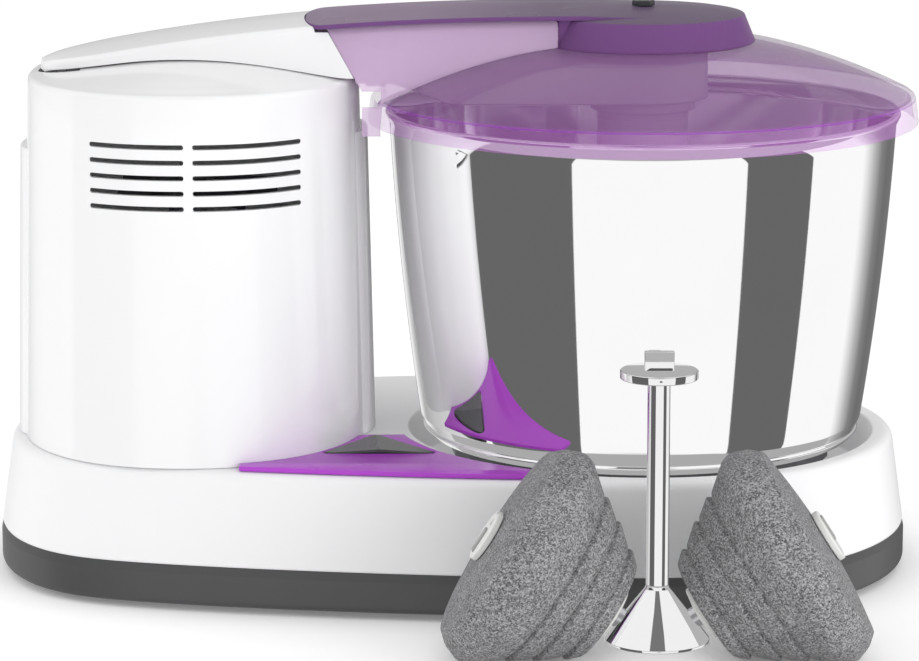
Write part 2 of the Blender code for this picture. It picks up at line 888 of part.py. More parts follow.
def make_turntable():
    """The seat that carries the drum, its driving spindle and the large pulley."""
    under = turntable_top - turntable_thickness
    hub = under - turntable_hub_depth
    skirt = turntable_radius - turntable_thickness
    turned("turntable", [
        (spindle_radius + rest_gap, turntable_top), (turntable_radius, turntable_top),
        (turntable_radius, under - turntable_thickness), (skirt, under - turntable_thickness), (skirt, under),
        (turntable_hub_radius, under), (turntable_hub_radius, hub), (spindle_radius + rest_gap, hub)],
        grey_plastic, drum_axis)
    disc("drive_spindle", spindle_radius, belt_height - spindle_tail, turntable_top - rest_gap, bright_steel,
         drum_axis, small_sides)
    make_pulley("drum_pulley", drum_pulley_radius, spindle_radius, drum_axis, (0, 0), round_sides)


def make_pulley(name, radius, shaft, axis, centre, sides):
    """A flanged pulley; the belt runs between its flanges."""
    half = belt_width / 2 + running_gap
    low, high = belt_height - half, belt_height + half
    edge = radius + pulley_flange
    bore = shaft + rest_gap
    slope = pulley_rim
    profile = [(bore, high + slope), (radius, high + slope), (edge, high + slope / 2), (edge, high),
               (radius, high), (radius, low), (edge, low), (edge, low - slope / 2), (radius, low - slope),
               (bore, low - slope)]
    turned(name, profile, aluminium, axis, sides, centre)


def make_spindle_bearings():
    """The cast tube that hangs in the well floor and the two bearings in it."""
    low = bearing_tube_bottom
    flange = well_floor - well_floor_wall - rest_gap
    outer = bearing_tube_radius
    profile = [(bearing_outer_radius + rest_gap, bearing_tube_top), (outer, bearing_tube_top),
               (outer, flange), (bearing_flange_radius, flange),
               (bearing_flange_radius, flange - bearing_flange_thickness),
               (outer, flange - bearing_flange_thickness), (outer, low),
               (bearing_outer_radius - bearing_lip, low),
               (bearing_outer_radius - bearing_lip, low + bearing_lip),
               (bearing_outer_radius + rest_gap, low + bearing_lip)]
    turned("bearing_housing", profile, aluminium, sides=small_sides)
    lower = low + bearing_lip + rest_gap
    upper = bearing_tube_top - bearing_width
    for name, bottom in (("spindle_bearing_lower", lower), ("spindle_bearing_upper", upper)):
        disc(name, bearing_outer_radius, bottom, bottom + bearing_width, bright_steel, sides=small_sides,
             bore=spindle_radius + running_gap)


def belt_outline(offset):
    """The open loop round both pulleys: two arcs and the straight runs between them."""
    large = drum_pulley_radius + offset
    small = motor_pulley_radius + offset
    lean = math.asin((large - small) / tower_distance)
    right = arc(large, -math.pi / 2 - lean, math.pi / 2 + lean, belt_arc_steps)
    left = arc(small, math.pi / 2 + lean, 3 * math.pi / 2 - lean, corner_steps + corner_steps, (motor_x, 0))
    return right + left


def make_belt():
    """The drive belt, standing a running gap off its pulleys."""
    half = belt_width / 2
    prism("drive_belt", [belt_outline(belt_run), belt_outline(running_gap)], belt_height - half,
          belt_height + half, rubber)


# Motor tower

def make_motor_tower():
    """The white tower shell: drafted wall, rounded edge, domed top, vents and pilasters."""
    loops = [tower_loop(tower_growth(tower_foot), tower_foot)]
    for a in quarter_angles:
        loops.append(tower_loop(tower_edge_radius * (math.cos(a) - 1),
                                tower_edge_height + tower_edge_radius * (math.sin(a) - 1)))
    for share in crown_shares:
        loops.append(crown_loop(share))
    tower = loft("motor_tower", loops, white_plastic, first_cap=False)
    shell(tower, tower_wall)
    fuse(tower, *make_pilasters())
    cut(tower, make_vent_cutter(), make_hinge_slot())


def tower_loop(offset, height):
    return [(x, y, height) for x, y in tower_outline(offset)]


def crown_loop(share):
    """A loop of the domed top, at a share of the way out from its middle."""
    points = [(motor_x + (x - motor_x) * share, y * share) for x, y in tower_outline(0)]
    return [(x, y, crown_height(x, y)) for x, y in points]


def make_pilasters():
    """Flat-topped ribs on the two ends of the tower, each a half oval in plan."""
    ribs = []
    places = ((1, right_pilaster_drop, right_pilaster_stand), (-1, left_pilaster_drop, left_pilaster_stand))
    for side, drop, stand in places:
        top = tower_edge_height - drop
        loops = []
        for height in (tower_foot, top):
            face = tower_half_width + tower_growth(height) + stand - pilaster_reach
            outline = [power_point(math.pi * (i / small_sides - 1 / 2), pilaster_reach, pilaster_half_depth,
                                   tower_squareness) for i in range(small_sides + 1)]
            loops.append([(motor_x + side * (face + x), side * y, height) for x, y in outline])
        ribs.append(loft(f"pilaster_{side}", loops))
    return ribs


def make_vent_cutter():
    """Two columns of slots with round ends, right through the front wall."""
    columns = ((-vent_left_reach, -vent_gap / 2), (vent_gap / 2, vent_right_reach))
    radius = vent_slot_height / 2
    shape = bmesh.new()
    for row in range(vent_rows):
        height = vent_top_height - row * vent_pitch
        for low, high in columns:
            ends = arc(radius, -math.pi / 2, math.pi / 2, vent_end_steps, (high - radius, height))
            ends += arc(radius, math.pi / 2, 3 * math.pi / 2, vent_end_steps, (low + radius, height))
            ends = [(motor_x + vent_shift + x, z) for x, z in ends]
            near = [shape.verts.new((x, -tower_half_depth - overrun, z)) for x, z in ends]
            far = [shape.verts.new((x, -vent_cut_depth, z)) for x, z in ends]
            shape.faces.new(near)
            shape.faces.new(reversed(far))
            for i in range(len(ends)):
                j = (i + 1) % len(ends)
                shape.faces.new((near[j], near[i], far[i], far[j]))
    bmesh.ops.recalc_face_normals(shape, faces=shape.faces)
    mesh = bpy.data.meshes.new("vent_slots")
    shape.to_mesh(mesh)
    shape.free()
    return add_object("vent_slots", mesh)


def make_hinge_slot():
    """The slot in the tower top that the tip of the arm turns down into."""
    return prism("hinge_slot", [arm_plan(slot_gap, -hinge_slot_x)], hinge_height - hinge_slot_depth,
                 crown_top + overrun)


# Motor

def make_motor():
    """The induction motor on its plate: casing, stator, windings, rotor, shaft, fan and pulley."""
    place = (motor_x, 0)
    bearing_bore = motor_shaft_radius + running_gap
    disc("motor_plate", motor_plate_radius, tower_foot, tower_foot + motor_plate_thickness, bright_steel,
         centre=place, bore=motor_opening_radius - motor_plate_lip)
    disc("motor_stator", motor_radius, stator_bottom, stator_top, dark_iron, centre=place,
         bore=stator_bore_radius)
    make_end_cap("motor_end_lower", motor_floor, 1)
    make_end_cap("motor_end_upper", motor_top, -1)
    for name, low in (("winding_lower", stator_bottom - rest_gap - winding_height),
                      ("winding_upper", stator_top + rest_gap)):
        disc(name, winding_outer_radius, low, low + winding_height, copper, centre=place,
             bore=winding_inner_radius, sides=small_sides)
    lower = motor_floor + end_cap_wall + rest_gap
    upper = motor_top - end_cap_wall - rest_gap - motor_bearing_width
    for name, low in (("motor_bearing_lower", lower), ("motor_bearing_upper", upper)):
        disc(name, motor_bearing_radius, low, low + motor_bearing_width, bright_steel, centre=place,
             bore=bearing_bore, sides=small_sides)
    rotor_radius = stator_bore_radius - rotor_air_gap
    disc("motor_rotor", rotor_radius, stator_bottom, stator_top, dark_iron, motor_axis, centre=place,
         bore=motor_shaft_radius + rest_gap, sides=small_sides)
    disc("motor_shaft", motor_shaft_radius, belt_height - spindle_tail, fan_bottom + fan_height + shaft_end,
         bright_steel, motor_axis, centre=place, sides=tiny_sides)
    make_fan()
    make_pulley("motor_pulley", motor_pulley_radius, motor_shaft_radius, motor_axis, place, small_sides)


def make_end_cap(name, face, side):
    """An end cap of the motor, a cup with a seat for its bearing; side is 1 for the lower one."""
    wall, seat = end_cap_wall, motor_bearing_radius + rest_gap
    shaft_hole = motor_shaft_radius + motor_plate_lip
    seat_depth = wall + motor_bearing_width
    levels = [(shaft_hole, 0), (motor_radius, 0), (motor_radius, end_cap_height),
              (motor_radius - wall, end_cap_height), (motor_radius - wall, wall), (seat + wall, wall),
              (seat + wall, seat_depth), (seat, seat_depth), (seat, wall), (shaft_hole, wall)]
    turned(name, [(r, face + side * z) for r, z in levels], aluminium, centre=(motor_x, 0), sides=small_sides)


def make_fan():
    """The cooling fan: flat blades round a hub on the top of the shaft."""
    outline = []
    pitch = 2 * math.pi / fan_blades
    root = math.asin(fan_blade_thickness / 2 / fan_hub_radius)
    tip = math.asin(fan_blade_thickness / 2 / fan_radius)
    for i in range(fan_blades):
        outline += [(fan_radius * math.cos(i * pitch + a), fan_radius * math.sin(i * pitch + a))
                    for a in (-tip, tip)]
        outline += arc(fan_hub_radius, i * pitch + root, (i + 1) * pitch - root, 2)
    outline = [(motor_x + x, y) for x, y in outline]
    bore = circle(motor_shaft_radius + rest_gap, tiny_sides, (motor_x, 0))
    prism("cooling_fan", [outline, bore], fan_bottom, fan_bottom + fan_height, grey_plastic, motor_axis)


def make_capacitor():
    """The run capacitor, standing behind the motor."""
    disc("run_capacitor", capacitor_radius, tower_foot, tower_foot + capacitor_height, white_plastic,
         centre=(motor_x, capacitor_distance), sides=small_sides)


# Switch and its trim

def key_outline(offset=0):
    """The rounded triangle of the switch key, grown by an offset."""
    left, right = Vector((-key_left_x, -key_front_y)), Vector((-key_right_x, -key_front_y))
    apex = Vector((-key_apex_x, -key_apex_y))
    return grown(rounded([left, right, apex], key_corner_radius), offset)


def grown(points, offset):
    """A rounded outline, turning left, moved outwards along its normals."""
    moved = []
    for i, point in enumerate(points):
        along = Vector(points[(i + 1) % len(points)]) - Vector(points[i - 1])
        out = Vector((along.y, -along.x)).normalized()
        moved.append((point[0] + out.x * offset, point[1] + out.y * offset))
    return moved


def trim_outline():
    """The coloured trim: along the base edge, the ring of the well and the foot of the tower."""
    ring = well_radius + ring_width
    foot = tower_growth(base_top_height) + cover_gap
    edge = [p for p in base_outline(trim_inset, base_sides * 2)
            if p[1] < 0 and -trim_tip_x < p[0] < ring * math.cos(trim_end_angle)]
    edge.sort()
    neck = math.asin(trim_neck_y / ring)
    well = arc(ring, -trim_end_angle, -math.pi + neck, trim_arc_steps)
    tower = [p for p in tower_outline(foot, tower_sides * 2)
             if p[1] < -trim_neck_y and -trim_tip_x < p[0] and p[0] > motor_x]
    tower.sort(key=lambda p: -p[1])
    return edge + well + tower


def make_switch():
    """The purple trim, the dark key in it and the switch body under the base top."""
    bottom = base_top_height + rest_gap
    top = bottom + trim_thickness
    prism("switch_trim", [trim_outline(), key_outline(key_gap)], bottom, top, purple_plastic)
    key_top = top + key_stand
    key_bottom = key_top - key_stand - trim_thickness - key_depth
    flat = [(x, y, key_bottom) for x, y in key_outline()]
    shoulder = [(x, y, key_top - key_edge) for x, y in key_outline()]
    face = [(x, y, key_top) for x, y in key_outline(-key_edge)]
    loft("switch_key", [flat, shoulder, face], black_plastic, key_axis)
    body_top = housing_underside - rest_gap
    body_bottom = key_bottom - key_travel - switch_depth
    body = prism("switch_body", [key_outline(switch_wall)], body_bottom, body_top, black_plastic)
    pocket = prism("switch_pocket", [key_outline(key_gap)], key_bottom - key_travel - rest_gap,
                   body_top + overrun)
    cut(body, pocket)


# Arm

def arm_top(x):
    """Height of the arm's top line; x runs from the tip, on the left, to the peak over the drum."""
    reach = max(0, -arm_peak_x - x) / arm_drop_reach
    end = max(0, arm_tip_round_length - arm_tip_x - x) / arm_tip_round_length
    return arm_peak_height - arm_drop * reach ** arm_drop_power - arm_tip_round * end ** 2


def arm_width(x):
    """Half width of the arm along its top edge; it closes in a squared arc at the tip."""
    share = max(0, arm_tip_length - arm_tip_x - x) / arm_tip_length
    return arm_half_width * max(0, 1 - share ** arm_tip_power) ** (1 / arm_tip_power)


def arm_foot_width(x):
    """Half width of the arm's lower edge, where its sloping side meets the domed tower top."""
    half = arm_width(x)
    return half + arm_side_slope * (arm_top(x) - arm_crease_drop - crown_height(x, half))


def arm_plan(offset, end_x):
    """The rear end of the arm in plan, grown by an offset, as far as end_x."""
    side = []
    for i in range(arm_sections + 1):
        share = (i / arm_sections) ** 2
        x = arm_start + (end_x - arm_start) * share
        side.append((x - offset * (1 - share), arm_foot_width(x) + offset))
    return [(x, -y) for x, y in side] + [(x, y) for x, y in reversed(side)]


def joint_x(height):
    """The slanted joint between the white and the clear part of the arm."""
    share = (height - joint_foot_height) / (joint_top_height - joint_foot_height)
    return -joint_foot_x - (joint_top_x - joint_foot_x) * max(0, share)


def arm_section(top_x, place, foot, waist, drop, inset):
    """A cut through the arm, from its back foot over the top to its front foot, drawn in by an inset.

    place gives the x of a point from its height, so that the cut can lean.
    """
    edge = arm_top(top_x) - drop - arm_crease_drop
    crease = edge - inset
    half = arm_width(top_x) - inset
    low = crease - arm_crease_radius
    side = [(half + arm_side_slope * (edge - z), z) for z in (foot, waist, low)]
    side += [(max(half - arm_crease_radius, half / 2), crease), (half / 2, crease + arm_crease_drop * 3 / 4)]
    points = side + [(0, crease + arm_crease_drop)] + [(-y, z) for y, z in reversed(side)]
    return [(place(z), y, z) for y, z in points]


def rear_section(share, inset=0):
    """A section of the white cover, at a share of the way from the tip to the joint."""
    top_x = arm_start + (-joint_top_x - arm_start) * share
    foot_x = arm_start + (-joint_foot_x - arm_start) * share
    foot = crown_height(foot_x, arm_foot_width(foot_x)) + cover_foot_gap
    if inset > 0:
        foot -= overrun

    def place(z):
        return arm_start + (joint_x(z) - cover_gap / 2 - arm_start) * share
    low = arm_top(top_x) - arm_crease_drop - arm_crease_radius - inset
    return arm_section(top_x, place, foot, (foot + low) / 2, 0, inset)


def make_rear_cover():
    """The white cover of the arm, from the tip to the slanted joint."""
    shares = [(i / arm_sections) ** arm_section_power for i in range(arm_sections + 1)]
    first = arm_wall / (-joint_top_x - arm_start)
    inner = [first + (past_end_share - first) * share for share in shares]
    cover = loft("arm_rear_cover", [rear_section(share) for share in shares], white_plastic, hinge_axis)
    cut(cover, loft("rear_cover_inside", [rear_section(share, arm_wall) for share in inner]),
        prism("strip_notch", [strip_plan(cover_gap)], strip_notch_height, arm_peak_height + overrun))


def front_section(share, inset=0):
    """An upright section of the clear cover, at a share of the way from its left end to the drum axis."""
    x = -(joint_top_x + overrun) * (1 - share)
    foot = arm_skirt_height - (overrun if inset > 0 else 0)
    return arm_section(x, lambda z: x, foot, joint_foot_height, strip_thickness + cover_gap, inset)


def make_joint_cutter():
    """All that lies left of the clear cover's end: upright below, leaning to the left above."""
    left = -joint_top_x - 3 * overrun
    low, top = arm_skirt_height - overrun, arm_peak_height + overrun
    edge = [(z, joint_x(z) + cover_gap / 2) for z in (low, joint_foot_height, top)]
    half = arm_half_width + 3 * overrun
    return side_prism("joint_cutter", [(left, low)] + [(x, z) for z, x in edge] + [(left, top)], -half, half)


def make_lid_cutter():
    """The room of the lid, grown by a gap, for what stands on it."""
    rim = [(r + cover_gap * share, z + cover_gap) for r, z, share in lid_line()]
    foot = [(0, base_top_height), (lid_skirt_radius + cover_gap, base_top_height)]
    return turned("lid_cutter", foot + rim + [(0, lid_top_height + cover_gap)], sides=fine_sides)


def make_front_cover():
    """The clear side walls and top of the arm, from the slanted joint to the round cap."""
    shares = [i / arm_sections for i in range(arm_sections + 1)]
    inner = [past_end_share * share - (past_end_share - 1) for share in shares[:-1]]
    cover = loft("arm_front_cover", [front_section(share) for share in shares], clear_plastic, hinge_axis)
    inside = loft("front_cover_inside", [front_section(share, arm_wall) for share in inner])
    top = arm_peak_height + overrun
    cap = turned("cap_cutter", [
        (0, top), (cap_edge_radius + cover_gap, top), (cap_edge_radius + cover_gap, cap_edge_height),
        (cap_foot_radius + cover_gap, cap_foot_height), (cap_foot_radius + cover_gap, joint_foot_height),
        (0, joint_foot_height)])
    cut(cover, inside, make_joint_cutter(), over_lid, cap)


def beam_under_line():
    """The underside of the beam in side view: over the tower top, then down to the floor over the drum."""
    start = -hinge_slot_x - slot_gap
    line = []
    for i in range(beam_steps + 1):
        x = start + (-beam_start_x - start) * i / beam_steps
        line.append((x, crown_height(x, 0) + crown_gap))
    return line + [(-beam_start_x, beam_floor_height), (beam_half_width + overrun, beam_floor_height)]


def beam_top_line():
    """The top of the beam in side view, from the drum end back to the hinge."""
    start = -hinge_slot_x - slot_gap
    line = [(beam_half_width + overrun, arm_top(beam_half_width) - beam_front_drop)]
    for i in range(beam_steps + 1):
        x = (beam_front_lead - joint_top_x) * i / beam_steps
        line.append((x, arm_top(x) - beam_front_drop))
    rear = -joint_top_x - beam_front_lead
    for i in range(beam_steps + 1):
        x = rear + (start - rear) * i / beam_steps
        share = min(1, max(0, (-beam_neck_x - x) / beam_tongue_ramp))
        line.append((x, arm_top(x) - beam_rear_drop + (beam_rear_drop - beam_tongue_drop) * share))
    return line


def beam_plan():
    """The beam in plan: a tongue at the hinge, a waist over the tower and a round end over the drum."""
    waist = beam_half_width - beam_waist_step
    left = -hinge_x - knuckle_radius - overrun
    step = beam_front_lead - joint_top_x
    side = [(left, -knuckle_half_width), (-beam_neck_x, -knuckle_half_width),
            (-beam_neck_x + waist - knuckle_half_width, -waist), (step, -waist), (step, -beam_half_width)]
    end = arc(beam_half_width, -math.pi / 2, math.pi / 2, beam_end_steps)
    return side + end + [(x, -y) for x, y in reversed(side)]


def stadium(half, left, centre):
    """A strip from a square left end to a round right end."""
    end = arc(half, -math.pi / 2, math.pi / 2, beam_end_steps, (centre, 0))
    return [(left, -half)] + end + [(left, half)]


def make_beam():
    """The arm's hollow beam, from the hinge knuckle to the round end that carries the boss."""
    beam = prism("arm_beam", [beam_plan()], beam_floor_height - overrun, arm_peak_height + overrun,
                 grey_plastic, hinge_axis)
    knuckle = arc(knuckle_radius, math.pi / 2, 3 * math.pi / 2, 2 * corner_steps, (-hinge_x, hinge_height))
    sides = side_prism("beam_sides", knuckle + beam_under_line() + beam_top_line(),
                       -beam_half_width - overrun, beam_half_width + overrun)
    boolean(beam, sides, "INTERSECT")
    post_top = arm_peak_height - cap_wall - cover_gap * 2
    inside = stadium(beam_half_width - beam_wall, -beam_start_x + beam_wall, 0)
    hollow = prism("beam_hollow", [inside], beam_floor_height + beam_wall, arm_peak_height + overrun)
    pin_hole = rod_along_y("knuckle_hole", hinge_pin_radius + rest_gap, -beam_half_width, beam_half_width,
                           -hinge_x, hinge_height)
    cut(beam, hollow, pin_hole)
    bore = cap_bolt_shank + rest_gap
    foot, bore_end = beam_floor_height + beam_wall / 2, post_top - cap_bolt_length
    fuse(beam, turned("beam_post", [
        (0, foot), (beam_post_radius, foot), (beam_post_radius, post_top), (bore, post_top), (bore, bore_end),
        (0, bore_end)], sides=small_sides))


def strip_plan(offset):
    """The dark strip in plan, with its rounded left end, grown by an offset."""
    half = strip_half_width + offset
    centre = -strip_left_x + strip_tip_length
    angles = [math.pi / 2 + math.pi * i / strip_tip_steps for i in range(strip_tip_steps + 1)]
    end = [(centre + (strip_tip_length + offset) * math.cos(a), half * math.sin(a)) for a in angles]
    return end + [(0, -half), (0, half)]


def strip_section(x):
    """A section of the strip: a low arch across, with a lip turned down on each side."""
    run = min(1, (x + strip_left_x) / strip_tip_length)
    half = strip_half_width * math.sqrt(1 - (1 - run) ** 2)
    edge = half - strip_lip_round
    row = [(half, strip_lip), (half, strip_lip_round)]
    row += [(edge * k / strip_rows, 0) for k in range(strip_rows, 0, -1)]
    points = [(-y, d) for y, d in row] + [(0, 0)] + [(y, d) for y, d in reversed(row)]
    return [(x, y, arm_top(x) - d - strip_crown * (y / strip_half_width) ** 2) for y, d in points]


def make_skin(name, sections, wall):
    """A cutter: a skin over open sections, left to right, with a closed left end and a wall inwards."""
    count = len(sections[0])
    points = [point for section in sections for point in section]
    faces = [tuple(range(count))]
    for row in range(len(sections) - 1):
        for i in range(count - 1):
            a, b = row * count + i, (row + 1) * count + i
            faces.append((a, b, b + 1, a + 1))
    item = add_object(name, mesh_from(name, points, (), faces))
    shell(item, wall)
    return item


def make_top_cover():
    """The dark strip along the arm and the round cap over the drum axis, in one piece."""
    hole = cap_bolt_shank + rest_gap
    flat = cap_edge_radius - cap_edge_round
    line = []
    for i in range(cap_steps + 1):
        radius = hole + (flat - hole) * i / cap_steps
        line.append((radius, arm_peak_height - cap_crown * (radius / flat) ** 2))
    rise = line[-1][1] - cap_edge_height
    line += [(flat + cap_edge_round * math.sin(a), cap_edge_height + rise * math.cos(a))
             for a in quarter_angles[1:]]
    line.append((cap_foot_radius, cap_foot_height))
    cap = turned("arm_top_cover", walled(line, cap_wall), purple_grey_plastic, hinge_axis)
    half = beam_half_width + cover_gap
    gate = block("cap_gate", (-cap_foot_radius - overrun, -half, cap_foot_height - overrun),
                 (0, half, arm_peak_height - beam_front_drop + cover_gap))
    cut(cap, over_lid, gate)
    start = -strip_left_x + strip_tip_start
    places = [start + (-strip_end_x - start) * (i / strip_steps) ** 2 for i in range(strip_steps + 1)]
    fuse(cap, make_skin("cover_strip", [strip_section(x) for x in places], strip_thickness))


def make_cap_bolt():
    """The hexagon bolt that holds the cap to the post of the beam."""
    seat = arm_peak_height + rest_gap
    middle = seat + cap_bolt_height / 2
    bolt = disc("cap_bolt", cap_bolt_radius, seat, seat + cap_bolt_height, black_plastic, hinge_axis, sides=6)
    fuse(bolt, disc("bolt_shank", cap_bolt_shank, middle - cap_bolt_length, middle, sides=tiny_sides))


# Lid

def lid_height(radius):
    """Height of the lid's domed outside over a radius."""
    share = max(0, radius - lid_top_radius) / (lid_shoulder_radius - lid_top_radius)
    return lid_top_height - (lid_top_height - lid_shoulder_height) * share ** lid_fullness


def lid_line():
    """The lid's outside, from its lower edge up over the shoulder, as radius, height and outward share."""
    edge = lid_shoulder_radius - lid_shoulder_round
    line = [(lid_skirt_radius, lid_skirt_height, 1), (lid_shoulder_radius, lid_shoulder_height, 1)]
    for i in range(lid_steps + 1):
        radius = edge + (lid_top_radius - edge) * i / lid_steps
        line.append((radius, lid_height(radius), 0))
    return line


def skirt_point(height):
    """A point of the lid's outside, below its shoulder."""
    return (lid_shoulder_radius + lid_skirt_flare * (lid_shoulder_height - height) / lid_skirt_depth, height)


def make_lid():
    """The clear lid: a dome over a shoulder, slotted for the beam, and the skirt ring under it."""
    dome = [(r, z) for r, z, _ in reversed(lid_line()[1:])]
    outside = [(lid_start_radius, lid_top_height)] + dome + [skirt_point(lid_seam_height)]
    lid = turned("lid_dome", walled(outside, lid_wall), clear_plastic, hinge_axis, fine_sides)
    skirt = [skirt_point(lid_seam_height - rest_gap), skirt_point(lid_skirt_height)]
    turned("lid_skirt", walled(skirt, lid_wall), clear_plastic, hinge_axis, fine_sides)
    half = beam_half_width + cover_gap
    slot = prism("lid_slot", [stadium(half, -lid_skirt_radius - overrun, 0)], boss_top - rest_gap,
                 arm_peak_height)
    cut(lid, slot)


def make_boss():
    """The stepped boss under the beam; its bore and slot take the disc and the key of the roller set."""
    bottom = boss_tube_top - boss_tube_height
    boss = turned("lid_boss", [
        (0, boss_top), (boss_flange_radius, boss_top), (boss_flange_radius, boss_neck_top),
        (boss_neck_radius, boss_neck_top), (boss_neck_radius, boss_tube_top),
        (boss_tube_radius, boss_tube_top),
        (boss_tube_radius, bottom), (boss_bore_radius, bottom), (boss_bore_radius, boss_tube_top),
        (0, boss_tube_top)], grey_plastic, hinge_axis)
    half_x = key_block_width / 2 + key_slot_gap
    half_y = key_block_depth / 2 + key_slot_gap
    slot = block("boss_slot", (-half_x, -half_y, boss_tube_top - overrun),
                 (half_x, half_y, boss_top - boss_skin))
    cut(boss, slot)


# Hinge

def make_hinge():
    """The bracket under the tower top, with two ears, and the pin through them and the knuckle."""
    loops = []
    base = bracket_base()
    for i in range(3):
        x = bracket_length * i / 2 - bracket_left_x
        row = [(x, y, crown_height(x, y) - tower_wall - bracket_gap)
               for y in (bracket_half_width, 0, -bracket_half_width)]
        loops.append([(x, -bracket_half_width, base), (x, bracket_half_width, base)] + row)
    bracket = loft("hinge_bracket", loops, bright_steel)
    for name, front in (("ear_front", -knuckle_reach - ear_thickness), ("ear_back", knuckle_reach)):
        fuse(bracket, side_prism(name, ear_outline(), front, front + ear_thickness))
    half = hinge_pin_length / 2
    cut(bracket, rod_along_y("ear_holes", hinge_pin_radius + rest_gap, -half - overrun, half + overrun,
                             -hinge_x, hinge_height))
    rod_along_y("hinge_pin", hinge_pin_radius, -half, half, -hinge_x, hinge_height, bright_steel)


def bracket_base():
    """The flat underside of the bracket."""
    return crown_height(-bracket_left_x, bracket_half_width) - tower_wall - bracket_depth


def ear_outline():
    """An ear in side view: a round eye whose web runs down to the bracket."""
    base = bracket_base()
    eye = arc(ear_radius, ear_turn, ear_turn + math.pi, 2 * corner_steps, (-hinge_x, hinge_height))
    root = bracket_length / 3 - bracket_left_x
    top = crown_height(-bracket_left_x, 0) - tower_wall - bracket_gap - bracket_gap
    return eye + [(-bracket_left_x, base), (root, base), (root, top), (-bracket_left_x, top)]


# Roller set

def stone_line():
    """A grinding stone as (radius, place along its axle): stepped cone, wide rim and domed face."""
    line = [(stone_start_radius, stone_start)]
    for run, rise in zip(stone_step_place_shares, stone_step_radius_shares):
        place = stone_start + stone_cone_length * run
        radius = stone_start_radius + (stone_radius - stone_start_radius) * rise
        line += [(radius, place), (radius + stone_step, place + stone_step)]
    line += [(stone_radius, stone_widest), (stone_radius, stone_rim_end),
             (stone_shoulder_radius, stone_shoulder_place)]
    for i in range(stone_crown_steps + 1):
        radius = stone_crown_radius + (stone_bore_radius - stone_crown_radius) * i / stone_crown_steps
        line.append((radius, stone_end - stone_crown * (radius / stone_crown_radius) ** 2))
    return line


def stone_axis_height():
    """The height of the axle lines at which the stones just touch the floor."""
    return max(r * math.cos(roller_tilt) - s * math.sin(roller_tilt) for r, s in stone_line())


def axle_empty(name, side):
    """An empty whose +Z runs out along an axle, on the left (-1) or the right (1)."""
    return axis_empty(name, (side * axle_offset, -roller_y, stone_axis_height()),
                      (0, side * (math.pi / 2 - roller_tilt), 0))


def make_stone(word, axis):
    """One stone with its nylon bush and end cap, which turn together on the axle."""
    turned(f"stone_{word}", stone_line() + [(stone_bore_radius, stone_start)], granite, axis, local=True)
    bore = axle_radius + running_gap
    tube = stone_bore_radius - rest_gap
    seat = stone_start - rest_gap
    under = seat - bush_flange_thickness
    turned(f"bush_{word}", [
        (bore, stone_bush_end), (tube, stone_bush_end), (tube, seat), (bush_flange_radius, seat),
        (bush_flange_radius, under), (bore, under)], nylon, axis, small_sides, local=True)
    face = stone_end + rest_gap
    top = face + end_cap_thickness
    plug = stone_bush_end + rest_gap
    cap = turned(f"stone_cap_{word}", [
        (0, top), (end_cap_radius, top), (end_cap_radius, face), (tube, face), (tube, plug), (0, plug)],
        nylon, axis, small_sides, local=True)
    half = end_cap_bar_width / 2
    reach = end_cap_radius - end_cap_bar_height
    fuse(cap, block(f"cap_bar_{word}", (-reach, -half, top - end_cap_thickness / 2),
                    (reach, half, top + end_cap_bar_height), axis=axis, local=True))


def make_rollers():
    """The standing roller set: shaft with disc and key, cone, two axles and their stones."""
    place = (0, -roller_y)
    socket = cone_top - spigot_length
    bore = spigot_radius + rest_gap
    cone = turned("roller_cone", [
        (0, socket - rest_gap), (bore, socket - rest_gap), (bore, cone_top), (roller_shaft_radius, cone_top),
        (cone_foot_radius, cone_foot_height), (0, cone_foot_height)], steel, roller_frame, small_sides, place)
    shaft_foot = cone_top + rest_gap
    under = disc_height - disc_thickness
    shaft = turned("roller_shaft", [
        (0, disc_height), (disc_radius, disc_height), (disc_radius, under), (roller_shaft_radius, under),
        (roller_shaft_radius, shaft_foot), (spigot_radius, shaft_foot), (spigot_radius, socket), (0, socket)],
        steel, roller_frame, small_sides, place)
    half_x, half_y = key_block_width / 2, key_block_depth / 2
    fuse(shaft, block("shaft_key", (-half_x, -roller_y - half_y, under + disc_thickness / 2),
                      (half_x, -roller_y + half_y, disc_height + key_block_height)))
    for word, side in (("left", -1), ("right", 1)):
        axis = axle_empty(f"stone_{word}_axis", side)
        cut(cone, disc(f"axle_hole_{word}", axle_radius + rest_gap, -axle_root, 3 * axle_root, axis=axis,
                       sides=tiny_sides, local=True))
        disc(f"axle_{word}", axle_radius, rest_gap - axle_root, stone_bush_end - rest_gap, bright_steel, axis,
             tiny_sides, local=True)
        make_stone(word, axis)


# Build

clear_scene()
parts = new_collection("parts")
cutters = new_collection("cutters")

frame = bpy.data.objects.new("set_frame", None)
frame.location = (-(set_left + set_right) / 2, -(set_front + set_back) / 2, 0)
parts.objects.link(frame)

drum_axis = axis_empty("drum_axis", (0, 0, belt_height))
motor_axis = axis_empty("motor_axis", (motor_x, 0, belt_height))
hinge_axis = axis_empty("hinge_axis", (-hinge_x, 0, hinge_height))
key_axis = axis_empty("key_axis", (-key_apex_x, -key_apex_y, base_top_height))
roller_frame = axis_empty("roller_frame", (0, -roller_y, 0))
gland_axis = axis_empty("gland_axis", gland_place(), (0, math.pi / 2 - gland_lean, gland_angle))

